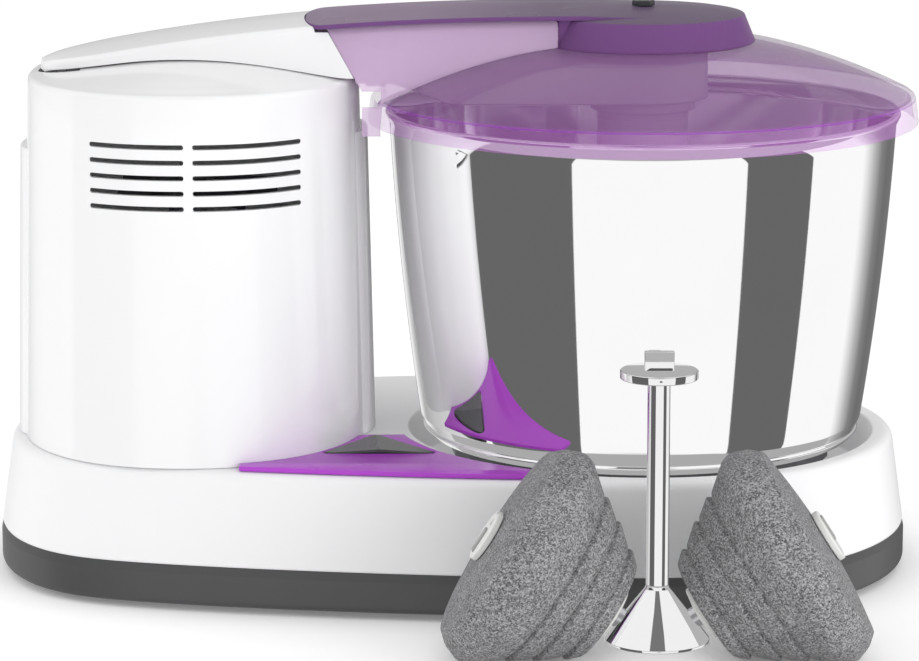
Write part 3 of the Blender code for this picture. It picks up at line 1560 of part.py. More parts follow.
white_plastic = finish("white_plastic", (0.90, 0.90, 0.91), 0.25)
grey_plastic = finish("grey_plastic", (0.09, 0.09, 0.10), 0.45)
black_plastic = finish("black_plastic", (0.04, 0.04, 0.05), 0.30)
purple_plastic = finish("purple_plastic", (0.38, 0.14, 0.52), 0.30)
purple_grey_plastic = finish("purple_grey_plastic", (0.20, 0.12, 0.22), 0.35)
clear_plastic = finish("clear_plastic", (0.55, 0.38, 0.66), 0.10, alpha=0.45)
steel = finish("steel", (0.75, 0.75, 0.76), 0.15, metallic=1.0)
bright_steel = finish("bright_steel", (0.60, 0.60, 0.62), 0.25, metallic=1.0)
aluminium = finish("aluminium", (0.70, 0.71, 0.72), 0.40, metallic=1.0)
dark_iron = finish("dark_iron", (0.12, 0.12, 0.13), 0.60, metallic=1.0)
copper = finish("copper", (0.72, 0.35, 0.18), 0.35, metallic=1.0)
granite = finish("granite", (0.22, 0.22, 0.23), 0.80)
nylon = finish("nylon", (0.86, 0.86, 0.84), 0.40)
rubber = finish("rubber", (0.03, 0.03, 0.03), 0.90)

make_base_plate()
make_feet()
make_base_housing()
make_cord_gland()
make_switch()
make_motor_tower()
make_motor()
make_capacitor()
make_spindle_bearings()
make_drum()
make_turntable()
make_belt()
make_hinge()
make_lid()
make_boss()
make_beam()
make_rear_cover()
over_lid = make_lid_cutter()
make_front_cover()
make_top_cover()
make_cap_bolt()
make_rollers()
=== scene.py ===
"""Looks of the table-top wet grinder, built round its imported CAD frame.

Metres. Surfaces are grids of points, worked out as whole arrays round the drum axis (x = 0, y = 0, floor
z = 0) and moved to their place at the end.
"""

import json
import math

import bmesh
import bpy
import numpy as np
from mathutils import Matrix, Vector


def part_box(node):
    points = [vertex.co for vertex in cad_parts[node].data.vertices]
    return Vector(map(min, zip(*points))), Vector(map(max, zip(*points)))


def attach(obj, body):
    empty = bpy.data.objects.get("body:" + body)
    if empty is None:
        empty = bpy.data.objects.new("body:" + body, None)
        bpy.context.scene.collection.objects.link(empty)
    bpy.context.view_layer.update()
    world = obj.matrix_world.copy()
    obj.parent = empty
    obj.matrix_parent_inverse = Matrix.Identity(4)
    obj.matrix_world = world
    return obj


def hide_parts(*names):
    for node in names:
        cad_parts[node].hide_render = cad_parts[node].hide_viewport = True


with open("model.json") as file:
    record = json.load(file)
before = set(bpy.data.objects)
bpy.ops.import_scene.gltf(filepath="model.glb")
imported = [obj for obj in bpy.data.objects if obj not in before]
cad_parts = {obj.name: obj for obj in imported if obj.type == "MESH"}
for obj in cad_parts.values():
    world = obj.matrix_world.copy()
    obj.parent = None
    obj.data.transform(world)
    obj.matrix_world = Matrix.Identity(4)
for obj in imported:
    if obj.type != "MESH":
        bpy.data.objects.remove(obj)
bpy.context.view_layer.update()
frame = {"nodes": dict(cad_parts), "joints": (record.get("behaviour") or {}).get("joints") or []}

JOINTS = {joint["name"]: joint for joint in frame["joints"]}
DRUM_AXIS = np.array([JOINTS["drum_spin"]["pos_m"][0], JOINTS["drum_spin"]["pos_m"][1], 0])
MM = 0.001
TAU = 2 * np.pi
CREASE = 32
SAME_PLACE = 2e-6
NOT_REFLECTED = ("base_", "gland", "foot_", "hub_", "grindstone_", "bushing_", "end_cap_", "cap_bar_",
                 "axle_rod_")


# Meshes from grids

def grid_faces(rows, columns, wrap_rows=False, wrap_columns=True):
    """Faces of a grid numbered row by row; a wrapped direction joins its last line to its first."""
    r, c = np.meshgrid(np.arange(rows if wrap_rows else rows - 1),
                       np.arange(columns if wrap_columns else columns - 1), indexing="ij")
    r2, c2 = (r + 1) % rows, (c + 1) % columns
    corners = [r * columns + c, r * columns + c2, r2 * columns + c2, r2 * columns + c]
    return np.stack(corners, -1).reshape(-1, 4)


def mesh_of(points, faces, crease=CREASE):
    """A closed mesh, with points that fall together merged and its faces turned outwards."""
    mesh = bpy.data.meshes.new("mesh")
    mesh.from_pydata(np.asarray(points, float).reshape(-1, 3).tolist(), [], faces.tolist())
    shape = bmesh.new()
    shape.from_mesh(mesh)
    bmesh.ops.remove_doubles(shape, verts=shape.verts, dist=SAME_PLACE)
    bmesh.ops.dissolve_degenerate(shape, edges=shape.edges, dist=SAME_PLACE / 20)
    loose = [edge for edge in shape.edges if not edge.link_faces]
    bmesh.ops.delete(shape, geom=loose, context="EDGES")
    if shape.calc_volume(signed=True) < 0:
        bmesh.ops.reverse_faces(shape, faces=shape.faces)
    return finished(shape, mesh, crease)


def finished(shape, mesh, crease):
    """Write an edited shape to a mesh."""
    shape.to_mesh(mesh)
    shape.free()
    return shaded(mesh, crease)


def shaded(mesh, crease):
    """Smooth shading; edges sharper than the crease angle, in degrees, stay hard."""
    mesh.shade_smooth()
    mesh.set_sharp_from_angle(angle=math.radians(crease))
    return mesh


def joined(meshes):
    """Several meshes as one."""
    shape = bmesh.new()
    for mesh in meshes:
        shape.from_mesh(mesh)
    return finished(shape, bpy.data.meshes.new("mesh"), CREASE)


def shown(name, data):
    """A new object in the scene."""
    item = bpy.data.objects.new(name, data)
    bpy.context.scene.collection.objects.link(item)
    return item


def worked(mesh, operation, tools, crease):
    """The mesh after an exact boolean with each tool, as a new mesh."""
    item, *helpers = things = [shown("work", each) for each in (mesh, *tools)]
    for helper in helpers:
        step = item.modifiers.new("Step", "BOOLEAN")
        step.operation, step.object, step.solver = operation, helper, "EXACT"
    made = bpy.data.meshes.new_from_object(item.evaluated_get(bpy.context.evaluated_depsgraph_get()))
    for thing in things:
        bpy.data.objects.remove(thing)
    made.materials.clear()
    return shaded(made, crease)


def cut(mesh, tools, crease=CREASE):
    return worked(mesh, "DIFFERENCE", tools, crease)


def fused(mesh, tools, crease=CREASE):
    return worked(mesh, "UNION", tools, crease)


def piece(name, mesh, material, body, nodes, place=DRUM_AXIS):
    """Put a mesh, drawn round the drum axis, in its place as a piece that rides on a body."""
    mesh.transform(Matrix.Translation(place))
    mesh.name = name
    mesh.materials.clear()
    mesh.materials.append(material)
    item = shown(name, mesh)
    item.visible_glossy = not name.startswith(NOT_REFLECTED)
    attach(item, body)
    if nodes:
        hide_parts(*nodes)


# Lines and profiles, as arrays of points

def paired(first, second):
    return np.column_stack([first, second])


def eased(corners, radius, steps=5, closed=False):
    """A line with rounded corners. A corner p, with unit directions a and b to its neighbours, becomes
    p + t a (1 - s)^2 + t b s^2 for s from 0 to 1, where t = radius / tan(half the corner's angle)."""
    p = np.asarray(corners, float)
    before, after = np.roll(p, 1, 0) - p, np.roll(p, -1, 0) - p
    la, lb = np.linalg.norm(before, axis=1), np.linalg.norm(after, axis=1)
    a, b = before / np.maximum(la, 1e-12)[:, None], after / np.maximum(lb, 1e-12)[:, None]
    half = np.arccos(np.clip((a * b).sum(1), -1, 1)) / 2
    t = np.broadcast_to(np.asarray(radius, float), half.shape) / np.tan(np.clip(half, 0.02, None))
    t = np.minimum(t, 0.49 * np.minimum(la, lb))[:, None, None]
    s = np.linspace(0, 1, steps + 1)[None, :, None]
    curve = p[:, None] + t * (a[:, None] * (1 - s) ** 2 + b[:, None] * s ** 2)
    if closed:
        return distinct(curve.reshape(-1, 2))
    return distinct(np.concatenate([p[:1], curve[1:-1].reshape(-1, 2), p[-1:]]))


def rounded(corners, radii, steps, closed=False):
    """The same line from sizes in millimetres."""
    return eased(np.array(corners) * MM, np.array(radii) * MM, steps, closed)


def distinct(line):
    """The line without points that lie on the one before them."""
    gap = np.linalg.norm(np.diff(line, axis=0), axis=1)
    return line[np.concatenate([[True], gap > SAME_PLACE])]


def walled(line, wall):
    """A closed profile: an open line and the same line one wall to its right, met at each corner along the
    bisector m of the two side normals n, at the distance wall / (m . n)."""
    along = np.diff(line, axis=0)
    along /= np.linalg.norm(along, axis=1)[:, None]
    side = paired(along[:, 1], -along[:, 0])
    first, last = np.vstack([side[:1], side]), np.vstack([side, side[-1:]])
    middle = first + last
    middle /= np.linalg.norm(middle, axis=1)[:, None]
    inner = line + middle * (wall / (middle * first).sum(1))[:, None]
    inner[line[:, 0] < 1e-9, 0] = 0
    return np.vstack([line, inner[::-1]])


def turned(profile, sides=128, centre=(0, 0)):
    """A profile of (radius r, height z) turned round: x = r cos a, y = r sin a, with a from 0 to a full turn.
    It is a ring unless both its ends lie on the axis."""
    profile = np.asarray(profile, float)
    a = np.arange(sides) * TAU / sides
    r, z = profile[:, :1], profile[:, 1:]
    points = np.stack([centre[0] + r * np.cos(a), centre[1] + r * np.sin(a), z + 0 * a], -1)
    ring = profile[0, 0] > 1e-9 or profile[-1, 0] > 1e-9
    return mesh_of(points, grid_faces(len(profile), sides, wrap_rows=ring))


def stacked(levels):
    """A grid from (outline, height) pairs: each outline at its height."""
    return np.array([paired(outline, np.broadcast_to(height, len(outline))) for outline, height in levels])


def ended(points):
    """A grid that comes to the middle of its first and of its last row."""
    row = points[:1].shape
    first, last = [np.broadcast_to(end.mean(1, keepdims=True), row) for end in (points[:1], points[-1:])]
    return np.concatenate([first, points, last])


def lofted(levels):
    """A closed body through stacked outlines."""
    points = ended(stacked(levels))
    return mesh_of(points, grid_faces(*points.shape[:2]))


def sheet_pair(outer, inner):
    """A wall between two grids of the same size: both sheets and the strips that join their four edges."""
    rows, columns = outer.shape[:2]
    faces = grid_faces(2 * rows, columns, wrap_rows=True, wrap_columns=False)
    i = np.arange(rows - 1)
    far = 2 * rows - 1 - i
    ends = [np.column_stack([i, i + 1, far - 1, far]) * columns + c for c in (0, columns - 1)]
    return mesh_of(np.concatenate([outer, inner[::-1]]), np.concatenate([faces, ends[0], ends[1][:, ::-1]]))


def mirrored(across, height):
    """Sections given from one side to the middle, with their other half."""
    return (np.concatenate([across, -across[:, -2::-1]], 1), np.concatenate([height, height[:, -2::-1]], 1))


def prism(outline, bottom, top, edge=0):
    """A flat outline between two heights, its upper edge rounded by a quarter circle of the edge radius."""
    steps = np.linspace(0, np.pi / 2, 5) if edge else [0]
    edges = [(inset(outline, edge * (1 - math.cos(a))), top - edge * (1 - math.sin(a))) for a in steps]
    return lofted([(outline, bottom), *edges])


def inset(outline, amount):
    """An outline, turning left, moved inwards along its normals."""
    along = np.roll(outline, -1, 0) - np.roll(outline, 1, 0)
    along /= np.maximum(np.linalg.norm(along, axis=1), 1e-9)[:, None]
    return outline - paired(along[:, 1], -along[:, 0]) * amount


def box_mesh(low, high, edge=0):
    """A box between two corners, with all its edges bevelled, in millimetres."""
    shape = bmesh.new()
    size, middle = np.subtract(high, low) * MM, np.add(high, low) * MM / 2
    bmesh.ops.create_cube(shape, size=1, matrix=Matrix.Translation(middle) @ Matrix.Diagonal((*size, 1)))
    if edge:
        bmesh.ops.bevel(shape, geom=shape.edges, offset=edge * MM, segments=3, profile=0.5, affect="EDGES")
    return finished(shape, bpy.data.meshes.new("mesh"), 40)


# Shader maths

class Value:
    """A number carried by a shader link. Arithmetic on it adds Math nodes."""

    def __init__(self, finish, socket):
        self.finish, self.socket = finish, socket

    def math(self, operation, *numbers):
        return self.finish.node("ShaderNodeMath", dict(enumerate(numbers)), {"operation": operation})


for sign, operation in {"add": "ADD", "sub": "SUBTRACT", "mul": "MULTIPLY", "truediv": "DIVIDE"}.items():
    setattr(Value, f"__{sign}__", lambda a, b, operation=operation: a.math(operation, a, b))
    setattr(Value, f"__r{sign}__", lambda a, b, operation=operation: a.math(operation, b, a))


class Finish:
    """A procedural material: one Principled shader and the nodes that vary it over the surface."""

    def __init__(self, name, colour, roughness, **constants):
        self.material = bpy.data.materials.new(name)
        self.material.use_nodes = True
        self.tree = self.material.node_tree
        self.shader = self.tree.nodes["Principled BSDF"]
        self.colour = colour
        for socket, value in dict(Base_Color=(*colour, 1), Roughness=roughness, **constants).items():
            self.shader.inputs[socket.replace("_", " ")].default_value = value
        self.place = self.node("ShaderNodeTexCoord", output="Object")

    def node(self, kind, sockets=None, settings=None, output=0):
        """Add a node with its settings, then a value or a link for each socket."""
        made = self.tree.nodes.new(kind)
        for name, value in (settings or {}).items():
            if name == "stops":
                self.set_stops(made.color_ramp, value)
            else:
                setattr(made, name, value)
        for name, value in (sockets or {}).items():
            if isinstance(value, Value):
                self.tree.links.new(value.socket, made.inputs[name])
            else:
                made.inputs[name].default_value = value
        return Value(self, made.outputs[output])

    @staticmethod
    def set_stops(ramp, stops):
        while len(ramp.elements) < len(stops):
            ramp.elements.new(0.5)
        for element, (place, grey) in zip(ramp.elements, stops):
            element.position = place
            element.color = (grey, grey, grey, 1)

    def feed(self, name, value):
        self.tree.links.new(value.socket, self.shader.inputs[name])

    def coordinate(self, vector, index):
        """One of the three numbers of a vector."""
        return self.node("ShaderNodeSeparateXYZ", {"Vector": vector}, output=index)

    def noise(self, scale, detail=2, roughness=0.5, place=None):
        return self.node("ShaderNodeTexNoise", {"Vector": place or self.place, "Scale": scale,
                                                "Detail": detail, "Roughness": roughness})

    def ramp(self, value, stops):
        return self.node("ShaderNodeValToRGB", {"Fac": value}, {"stops": stops})

    def mix(self, share, first, second):
        """A colour between two, by a share."""
        first, second = [each if isinstance(each, Value) else (*each, 1) for each in (first, second)]
        return self.node("ShaderNodeMix", {"Factor": share, 6: first, 7: second}, {"data_type": "RGBA"}, 2)

    def tone(self, share, spread):
        """Vary the base colour between its own value and one times (1 - spread)."""
        dark = tuple(c * (1 - spread) for c in self.colour)
        self.feed("Base Color", self.mix(share, self.colour, dark))

    def rough(self, share, low, high):
        self.feed("Roughness", share * (high - low) + low)

    def bump(self, height, depth):
        """Raise the surface by a height from 0 to 1 times a depth in metres."""
        bump = self.node("ShaderNodeBump", {"Height": height, "Distance": depth, "Strength": 1})
        self.feed("Normal", bump)


def moulded(name, colour, roughness, grain=900, depth=0.00002, spread=0.03, **constants):
    """Moulded plastic: faint flow mottling in the colour, uneven gloss and a fine skin."""
    finish = Finish(name, colour, roughness, **constants)
    flow = finish.noise(9, 3)
    skin = finish.noise(grain)
    finish.tone(flow, spread)
    finish.rough(finish.noise(60, 3) * 0.5 + skin * 0.5, roughness * 0.75, roughness * 1.3)
    finish.bump(skin, depth)
    return finish.material


def polished(name, colour, low, high, lines=2200, depth=0.000002):
    """Polished metal with faint turning lines: noise that changes quickly with height."""
    finish = Finish(name, colour, low, Metallic=1)
    stretched = finish.node("ShaderNodeMapping", {"Vector": finish.place, "Scale": (6, 6, lines)})
    rings = finish.noise(1, place=stretched)
    smears = finish.noise(22, 3)
    finish.tone(smears, 0.03)
    finish.rough(rings * 0.5 + smears * 0.5, low, high)
    finish.bump(rings, depth)
    return finish.material


def cast(name, colour, roughness, grain=420, depth=0.00008):
    """Cast or rolled metal with a grainy skin."""
    finish = Finish(name, colour, roughness, Metallic=1)
    skin = finish.noise(grain, 4)
    finish.tone(finish.noise(35, 3), 0.15)
    finish.rough(skin, roughness * 0.8, roughness * 1.2)
    finish.bump(skin, depth)
    return finish.material


def tinted(name, colour, roughness, cover, **constants):
    """Tinted plastic that lets part of the light through each of its faces, cloudier in places."""
    finish = Finish(name, colour, roughness, IOR=1.46, **constants)
    flow = finish.noise(14)
    finish.tone(flow, 0.04)
    finish.rough(flow, roughness * 0.6, roughness * 1.4)
    finish.feed("Alpha", flow * 0.04 + (cover - 0.02))
    return finish


def smoked(name, side, left, right):
    """Smoked plastic, almost closed: violet sides and a greyer top, whose grey is a painted reflection that
    darkens from left to right.
    """
    finish = tinted(name, side, 0.3, 0.85, Specular_IOR_Level=0.05)
    facing = finish.node("ShaderNodeTexCoord", output="Normal")
    # Painted reflection: faces that look up take the top colour, which runs from the left colour to the right
    # one along x.
    top_painted_reflection = finish.ramp(finish.coordinate(facing, 2), [(0.88, 0), (0.985, 1)])
    across = finish.ramp(finish.coordinate(finish.place, 0) * 10 + 0.5, [(0.3, 0), (0.95, 1)])
    finish.feed("Base Color", finish.mix(top_painted_reflection, side, finish.mix(across, left, right)))
    return finish


def lid_plastic(name, dome, skirt, line):
    """The lid's clear plastic by height: a pale skirt, a strong line where it turns, and the smoky dome. Each
    is a colour and the share of light that a face holds back."""
    finish = tinted(name, dome[0], 0.05, dome[1], Specular_IOR_Level=0.15)
    share = (finish.coordinate(finish.place, 2) - 0.23) / 0.02
    above = finish.ramp(share, [(0.66, 0), (0.71, 1)])
    bend = finish.ramp(share, [(0.63, 0), (0.645, 1), (0.665, 1), (0.685, 0)])
    finish.feed("Base Color", finish.mix(bend, finish.mix(above, skirt[0], dome[0]), line[0]))
    flow = finish.noise(14)
    cover = above * (dome[1] - skirt[1]) + skirt[1]
    finish.feed("Alpha", cover + bend * (line[1] - dome[1]) + (flow * 0.04 - 0.02))
    return finish


def stone(name, dark, light, scale):
    """Pressed grinding stone: pale and dark grains about half a millimetre wide."""
    finish = Finish(name, light, 0.85, Specular_IOR_Level=0.25)
    cells = finish.node("ShaderNodeTexVoronoi", {"Vector": finish.place, "Scale": scale}, output="Color")
    grain = finish.node("ShaderNodeSeparateColor", {"Color": cells})
    fine = finish.noise(scale * 0.9, 2, 0.7)
    cloud = finish.noise(60)
    share = finish.ramp(grain * 0.45 + fine * 0.75 + cloud * 0.12, [(0.36, 0), (0.62, 0.38), (0.92, 1)])
    finish.feed("Base Color", finish.mix(share, dark, light))
    finish.rough(fine, 0.7, 0.95)
    finish.bump(fine * 0.6 + grain * 0.4, 0.00022)
    return finish.material


def layered(name, colour, roughness, scale, distortion, spread, depth):
    """Metal in fine layers by height, such as wound wire or stacked sheets."""
    finish = Finish(name, colour, roughness[0], Metallic=1)
    sockets = {"Vector": finish.place, "Scale": scale, "Distortion": distortion}
    layers = finish.node("ShaderNodeTexWave", sockets, {"wave_type": "BANDS", "bands_direction": "Z"}, "Fac")
    finish.tone(layers, spread)
    finish.rough(layers, *roughness)
    finish.bump(layers, depth)
    return finish.material


white_gloss = moulded("white_gloss", (0.86, 0.86, 0.87), 0.12, spread=0.02, depth=0.000006)
white_satin = moulded("white_satin", (0.86, 0.86, 0.87), 0.3, spread=0.02, depth=0.000006,
                      Specular_IOR_Level=0.2)
rim_grey = moulded("rim_grey", (0.075, 0.075, 0.078), 0.38, grain=1500, depth=0.00005, spread=0.15)
inner_grey = moulded("inner_grey", (0.09, 0.09, 0.1), 0.45, grain=1200, depth=0.00004, spread=0.15)
beam_grey = moulded("beam_grey", (0.92, 0.8, 0.94), 0.35, spread=0.04)
bar_grey = moulded("bar_grey", (0.36, 0.36, 0.35), 0.4, spread=0.08)
key_black = moulded("key_black", (0.035, 0.036, 0.038), 0.14, spread=0.2)
trim_violet = moulded("trim_violet", (0.45, 0.066, 0.6), 0.22, spread=0.06, depth=0.00001,
                      Specular_IOR_Level=0.2)
lid_lilac = lid_plastic("lid_lilac", ((0.3, 0.12, 0.35), 0.43), ((0.62, 0.22, 0.72), 0.19),
                        ((0.33, 0.07, 0.48), 0.8)).material
arm_lilac = tinted("arm_lilac", (0.73, 0.53, 0.77), 0.3, 0.45, Specular_IOR_Level=0.3).material
# Violet sides; the last two colours are the painted reflection on the top, at its left and at its right.
smoke_violet = smoked("smoke_violet", (0.19, 0.082, 0.245), (0.28, 0.2, 0.3), (0.15, 0.105, 0.175)).material
drum_steel = polished("drum_steel", (0.96, 0.96, 0.96), 0.02, 0.05)
bright_chrome = polished("bright_chrome", (0.88, 0.88, 0.88), 0.02, 0.05, lines=1500)
bright_steel = cast("bright_steel", (0.6, 0.6, 0.62), 0.25, grain=900, depth=0.00001)
aluminium = cast("aluminium", (0.7, 0.71, 0.72), 0.4)
dark_iron = layered("dark_iron", (0.12, 0.12, 0.13), (0.45, 0.7), 320, 0, 0.35, 0.0001)
copper = layered("copper", (0.72, 0.35, 0.18), (0.25, 0.5), 160, 1.5, 0.4, 0.0004)
grinding_stone = stone("grinding_stone", (0.045, 0.046, 0.048), (0.42, 0.42, 0.43), 1500)
nylon = moulded("nylon", (0.8, 0.8, 0.78), 0.35, spread=0.05)
rubber = moulded("rubber", (0.03, 0.03, 0.03), 0.8, grain=1500, depth=0.00008, spread=0.3)

CAD_FINISHES = {
    inner_grey: ["turntable", "cooling_fan", "switch_body"],
    white_gloss: ["run_capacitor"],
    bright_steel: ["drive_spindle", "spindle_bearing_lower", "spindle_bearing_upper", "motor_plate",
                   "motor_shaft", "motor_bearing_lower", "motor_bearing_upper", "hinge_bracket", "hinge_pin"],
    aluminium: ["drum_pulley", "motor_pulley", "bearing_housing", "motor_end_lower", "motor_end_upper"],
    dark_iron: ["motor_stator", "motor_rotor"],
    copper: ["winding_lower", "winding_upper"],
    rubber: ["drive_belt"],
}


def finish_cad_nodes():
    """Give each CAD node that stays in view its procedural finish."""
    for material, names in CAD_FINISHES.items():
        for name in names:
            node = frame["nodes"][name]
            node.visible_glossy = False
            node.data.materials.clear()
            node.data.materials.append(material)


# Base

BASE_WIDE, BASE_POWER = 0.1371, 11.6
BASE_TOP = 0.0705
CORNER_BACK, CORNER_SIDE, CORNER_EASE, CORNER_RADIUS = 0.2543, 0.0468, 0.623, 0.0476
TRAY_FOOT, TRAY_FLOOR, COVER_FOOT = 0.003, 0.0055, 0.0238
WELL, WELL_WALL, WELL_FLOOR = 0.1198, 0.0025, 0.046
TOWER_X = -0.229


def base_reach(angle):
    """Support function of the base outline: (R^p + c^p)^(1/p), with R the wide end's radius and c the reach
    of the two corner circles at the tower end, -d cos a + s sqrt(sin^2 a + e^2) + r."""
    corner = -CORNER_BACK * np.cos(angle) + CORNER_SIDE * np.hypot(np.sin(angle), CORNER_EASE) + CORNER_RADIUS
    return (BASE_WIDE ** BASE_POWER + np.maximum(corner, 0) ** BASE_POWER) ** (1 / BASE_POWER)


def base_curve(angle, amount):
    """The outline drawn in by an amount: the point (h - amount) n + h' t, with n the normal at the angle."""
    step = 0.001
    reach = base_reach(angle) - amount
    slope = (base_reach(angle + step) - base_reach(angle - step)) / (2 * step)
    c, s = np.cos(angle), np.sin(angle)
    return paired(reach * c - slope * s, reach * s + slope * c)


def base_angles(count=480):
    """Normal angles whose outline points lie evenly along the outline."""
    dense = np.linspace(0, TAU, 20001)
    run = np.concatenate([[0], np.cumsum(np.linalg.norm(np.diff(base_curve(dense, 0), axis=0), axis=1))])
    return np.interp(np.arange(count) * run[-1] / count, run, dense)


def base_levels(angles, line):
    """The base outline for each point of a line of (amount drawn in, height)."""
    return [(base_curve(angles, amount), height) for amount, height in line]


def make_base():
    """The dark tray with its rounded lower edge, and the white cover with the well for the drum."""
    angles = base_angles()
    outer = rounded([(8.8, 3), (0, 3), (0, 19.5), (1, 23.5)], [0, 8.8, 3, 0], 9)
    inner = np.array([(3.6, 23.5), (2.6, 19.5), (2.6, 9), (9, 5.5)]) * MM
    middle = np.broadcast_to([-0.08, 0], (len(angles), 2))
    levels = base_levels(angles, outer) + base_levels(angles, inner)
    levels = [(middle, TRAY_FOOT), *levels, (middle, TRAY_FLOOR)]
    tray = mesh_of(stacked(levels), grid_faces(len(levels), len(angles)))
    piece("base_tray", tray, rim_grey, "base", ["base_plate"])

    wall = eased([(0.0011, COVER_FOOT), (0.0007, 0.0246), (0.0072, BASE_TOP), (0.018, BASE_TOP)],
                 [0, 0.0006, 0.006, 0], 8)[:-1]
    foot, outside, ceiling = 0.0178, WELL + WELL_WALL, 0.068
    ring = eased([(WELL + 0.0029, BASE_TOP), (WELL, BASE_TOP), (WELL, WELL_FLOOR), (foot, WELL_FLOOR),
                  (foot, WELL_FLOOR - 0.0028), (outside, WELL_FLOOR - 0.0028), (outside, ceiling)],
                 [0, 0.0026, 0.0015, 0, 0, 0, 0], 6)
    ring = ring[ring[:, 0] <= WELL + 0.0028]
    turn = paired(np.cos(angles), np.sin(angles))
    levels = base_levels(angles, wall) + [(turn * r, z) for r, z in ring]
    levels += base_levels(angles, [(0.0125, ceiling), (0.0085, 0.065), (0.0036, COVER_FOOT)])
    cover = mesh_of(stacked(levels), grid_faces(len(levels), len(angles), wrap_rows=True))
    key_hole = prism(inset(key_outline(), -KEY_PLAY), 0.06, 0.08)
    motor_hole = turned([(0, 0.06), (0.025, 0.06), (0.025, 0.08), (0, 0.08)], 48, (TOWER_X, 0))
    gland_hole = gland_turned([(0, -0.012), (0.0069, -0.012), (0.0069, 0.006), (0, 0.006)])
    cover = cut(cover, [key_hole, motor_hole, gland_hole])
    piece("base_cover", cover, white_satin, "base", ["base_housing"])


def gland_turned(profile):
    """A profile turned round the gland's axis, which leans out of the back wall."""
    angle, lean, height = math.radians(99), math.radians(8), 0.045
    place = base_curve(np.array([angle]), 0.0038)[0]
    mesh = turned(profile, 40)
    tilt = Matrix.Rotation(angle, 4, "Z") @ Matrix.Rotation(math.pi / 2 - lean, 4, "Y")
    mesh.transform(Matrix.Translation((*place, height)) @ tilt)
    return mesh


def make_small_base_parts():
    """The rubber gland in the back wall and the four feet."""
    line = rounded([(3.6, 2.8), (10, 2.8), (10, 0.3), (6.6, 0.3), (6.6, -9), (3.6, -9), (3.6, 2.8)],
                   [0, 1.2, 0.4, 0, 0.4, 0, 0], 3)
    piece("gland", gland_turned(line[:-1]), rubber, "base", ["cord_gland"])
    line = rounded([(0, 7), (4, 7), (4, 2.7), (12, 2.7), (12, 0), (0, 0)], [0, 0.3, 0, 0.3, 1.2, 0], 3)
    for name in ("foot_front_right", "foot_rear_right", "foot_front_left", "foot_rear_left"):
        low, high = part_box(name)
        piece(name + "_pad", turned(line, 32), rubber, "base", [name],
              ((low.x + high.x) / 2, (low.y + high.y) / 2, 0))


# Switch and trim

KEY_PLAY = 0.0005
TRIM_END = math.radians(115)


def key_outline():
    """The rounded triangle of the key."""
    return rounded([(-165, -79), (-133.5, -79), (-102, -79), (-136, -42)], [4.5, 0, 4.5, 4.5], 8, True)


def key_top(x, y):
    """Height of the key's top: two flanks that fall from a ridge to the sides, by 0.0016 |x - x0| / w."""
    ridge = -0.1335 - 0.0025 * (y + 0.079) / 0.037
    return 0.0748 - 0.0016 * np.clip(np.abs(x - ridge) / 0.024, 0, 1)


def make_switch():
    """The dark two-flanked key and the violet trim round it."""
    outline = key_outline()
    middle, foot = np.array([[-0.1344, -0.0665]]), 0.0643
    edge = key_top(*outline.T)
    levels = [(middle + 0 * outline, foot), (outline, foot), (outline, edge - 0.0009),
              (inset(outline, 0.0003), edge - 0.0003)]
    for share in (1, 0.8, 0.6, 0.4, 0.2, 0):
        ring = middle + (inset(outline, 0.0009) - middle) * share
        levels.append((ring, key_top(*ring.T)))
    key = mesh_of(stacked(levels), grid_faces(len(levels), len(outline)), crease=4)
    piece("key_cap", key, key_black, "switch", ["switch_key"])
    trim = flat_plate([trim_outline(), inset(outline, -KEY_PLAY)[::-1]], 0.0708, 0.073, 0.0005)
    piece("trim", trim, trim_violet, "base", ["switch_trim"])


def flat_plate(outlines, bottom, top, edge):
    """A plate with holes and rounded edges, made from a flat curve."""
    curve = bpy.data.curves.new("plate", "CURVE")
    curve.dimensions, curve.fill_mode = "2D", "BOTH"
    curve.extrude, curve.bevel_depth, curve.bevel_resolution = (top - bottom) / 2 - edge, edge, 2
    curve.offset = -edge
    for outline in outlines:
        spline = curve.splines.new("POLY")
        spline.points.add(len(outline) - 1)
        spline.points.foreach_set("co", np.column_stack([outline, np.zeros(len(outline)),
                                                         np.ones(len(outline))]).ravel())
        spline.use_cyclic_u = True
    guide = shown("guide", curve)
    mesh = bpy.data.meshes.new_from_object(guide.evaluated_get(bpy.context.evaluated_depsgraph_get()))
    bpy.data.objects.remove(guide)
    shape = bmesh.new()
    shape.from_mesh(mesh)
    bmesh.ops.remove_doubles(shape, verts=shape.verts, dist=SAME_PLACE)
    bmesh.ops.recalc_face_normals(shape, faces=shape.faces)
    finished(shape, mesh, 40).transform(Matrix.Translation((0, 0, (top + bottom) / 2)))
    return mesh


def trim_outline():
    """The trim: along the base edge, back along the ring of the well and round the foot of the tower."""
    ring, tip, back = WELL + 0.007, -0.203, 0.036
    edge = base_curve(base_angles(720), 0.0095)
    edge = edge[(edge[:, 1] < 0) & (edge[:, 0] > tip) & (edge[:, 0] < ring * math.cos(TRIM_END))]
    edge = edge[np.argsort(edge[:, 0])]
    sweep = np.linspace(-TRIM_END, -math.pi + math.asin(back / ring), 60)
    well = ring * paired(np.cos(sweep), np.sin(sweep))
    foot = tower_outline(0.0046, 720)
    foot = foot[(foot[:, 1] < -back) & (foot[:, 0] > tip) & (foot[:, 0] > TOWER_X)]
    foot = foot[np.argsort(-foot[:, 1])]
    return eased(np.concatenate([edge, well, foot]), 0.0016, 3, True)


# Motor tower

TOWER_EDGE, TOWER_FOOT = 0.2555, 0.0708
TOWER_HALF = np.array([0.084, 0.099])
TOWER_POWER, TOWER_WALL, TOWER_ROUND = 2.2, 0.003, 0.003
RIB, RIB_SHARE = np.array([0.0105, 0.028]), 0.909


def squared_ellipse(angle, half, share=2 / TOWER_POWER):
    """Points with |x / a|^n + |y / b|^n = 1, where n is 2 / share and a and b are the half sizes."""
    turn = paired(np.cos(angle), np.sin(angle))
    return half * np.sign(turn) * np.abs(turn) ** share


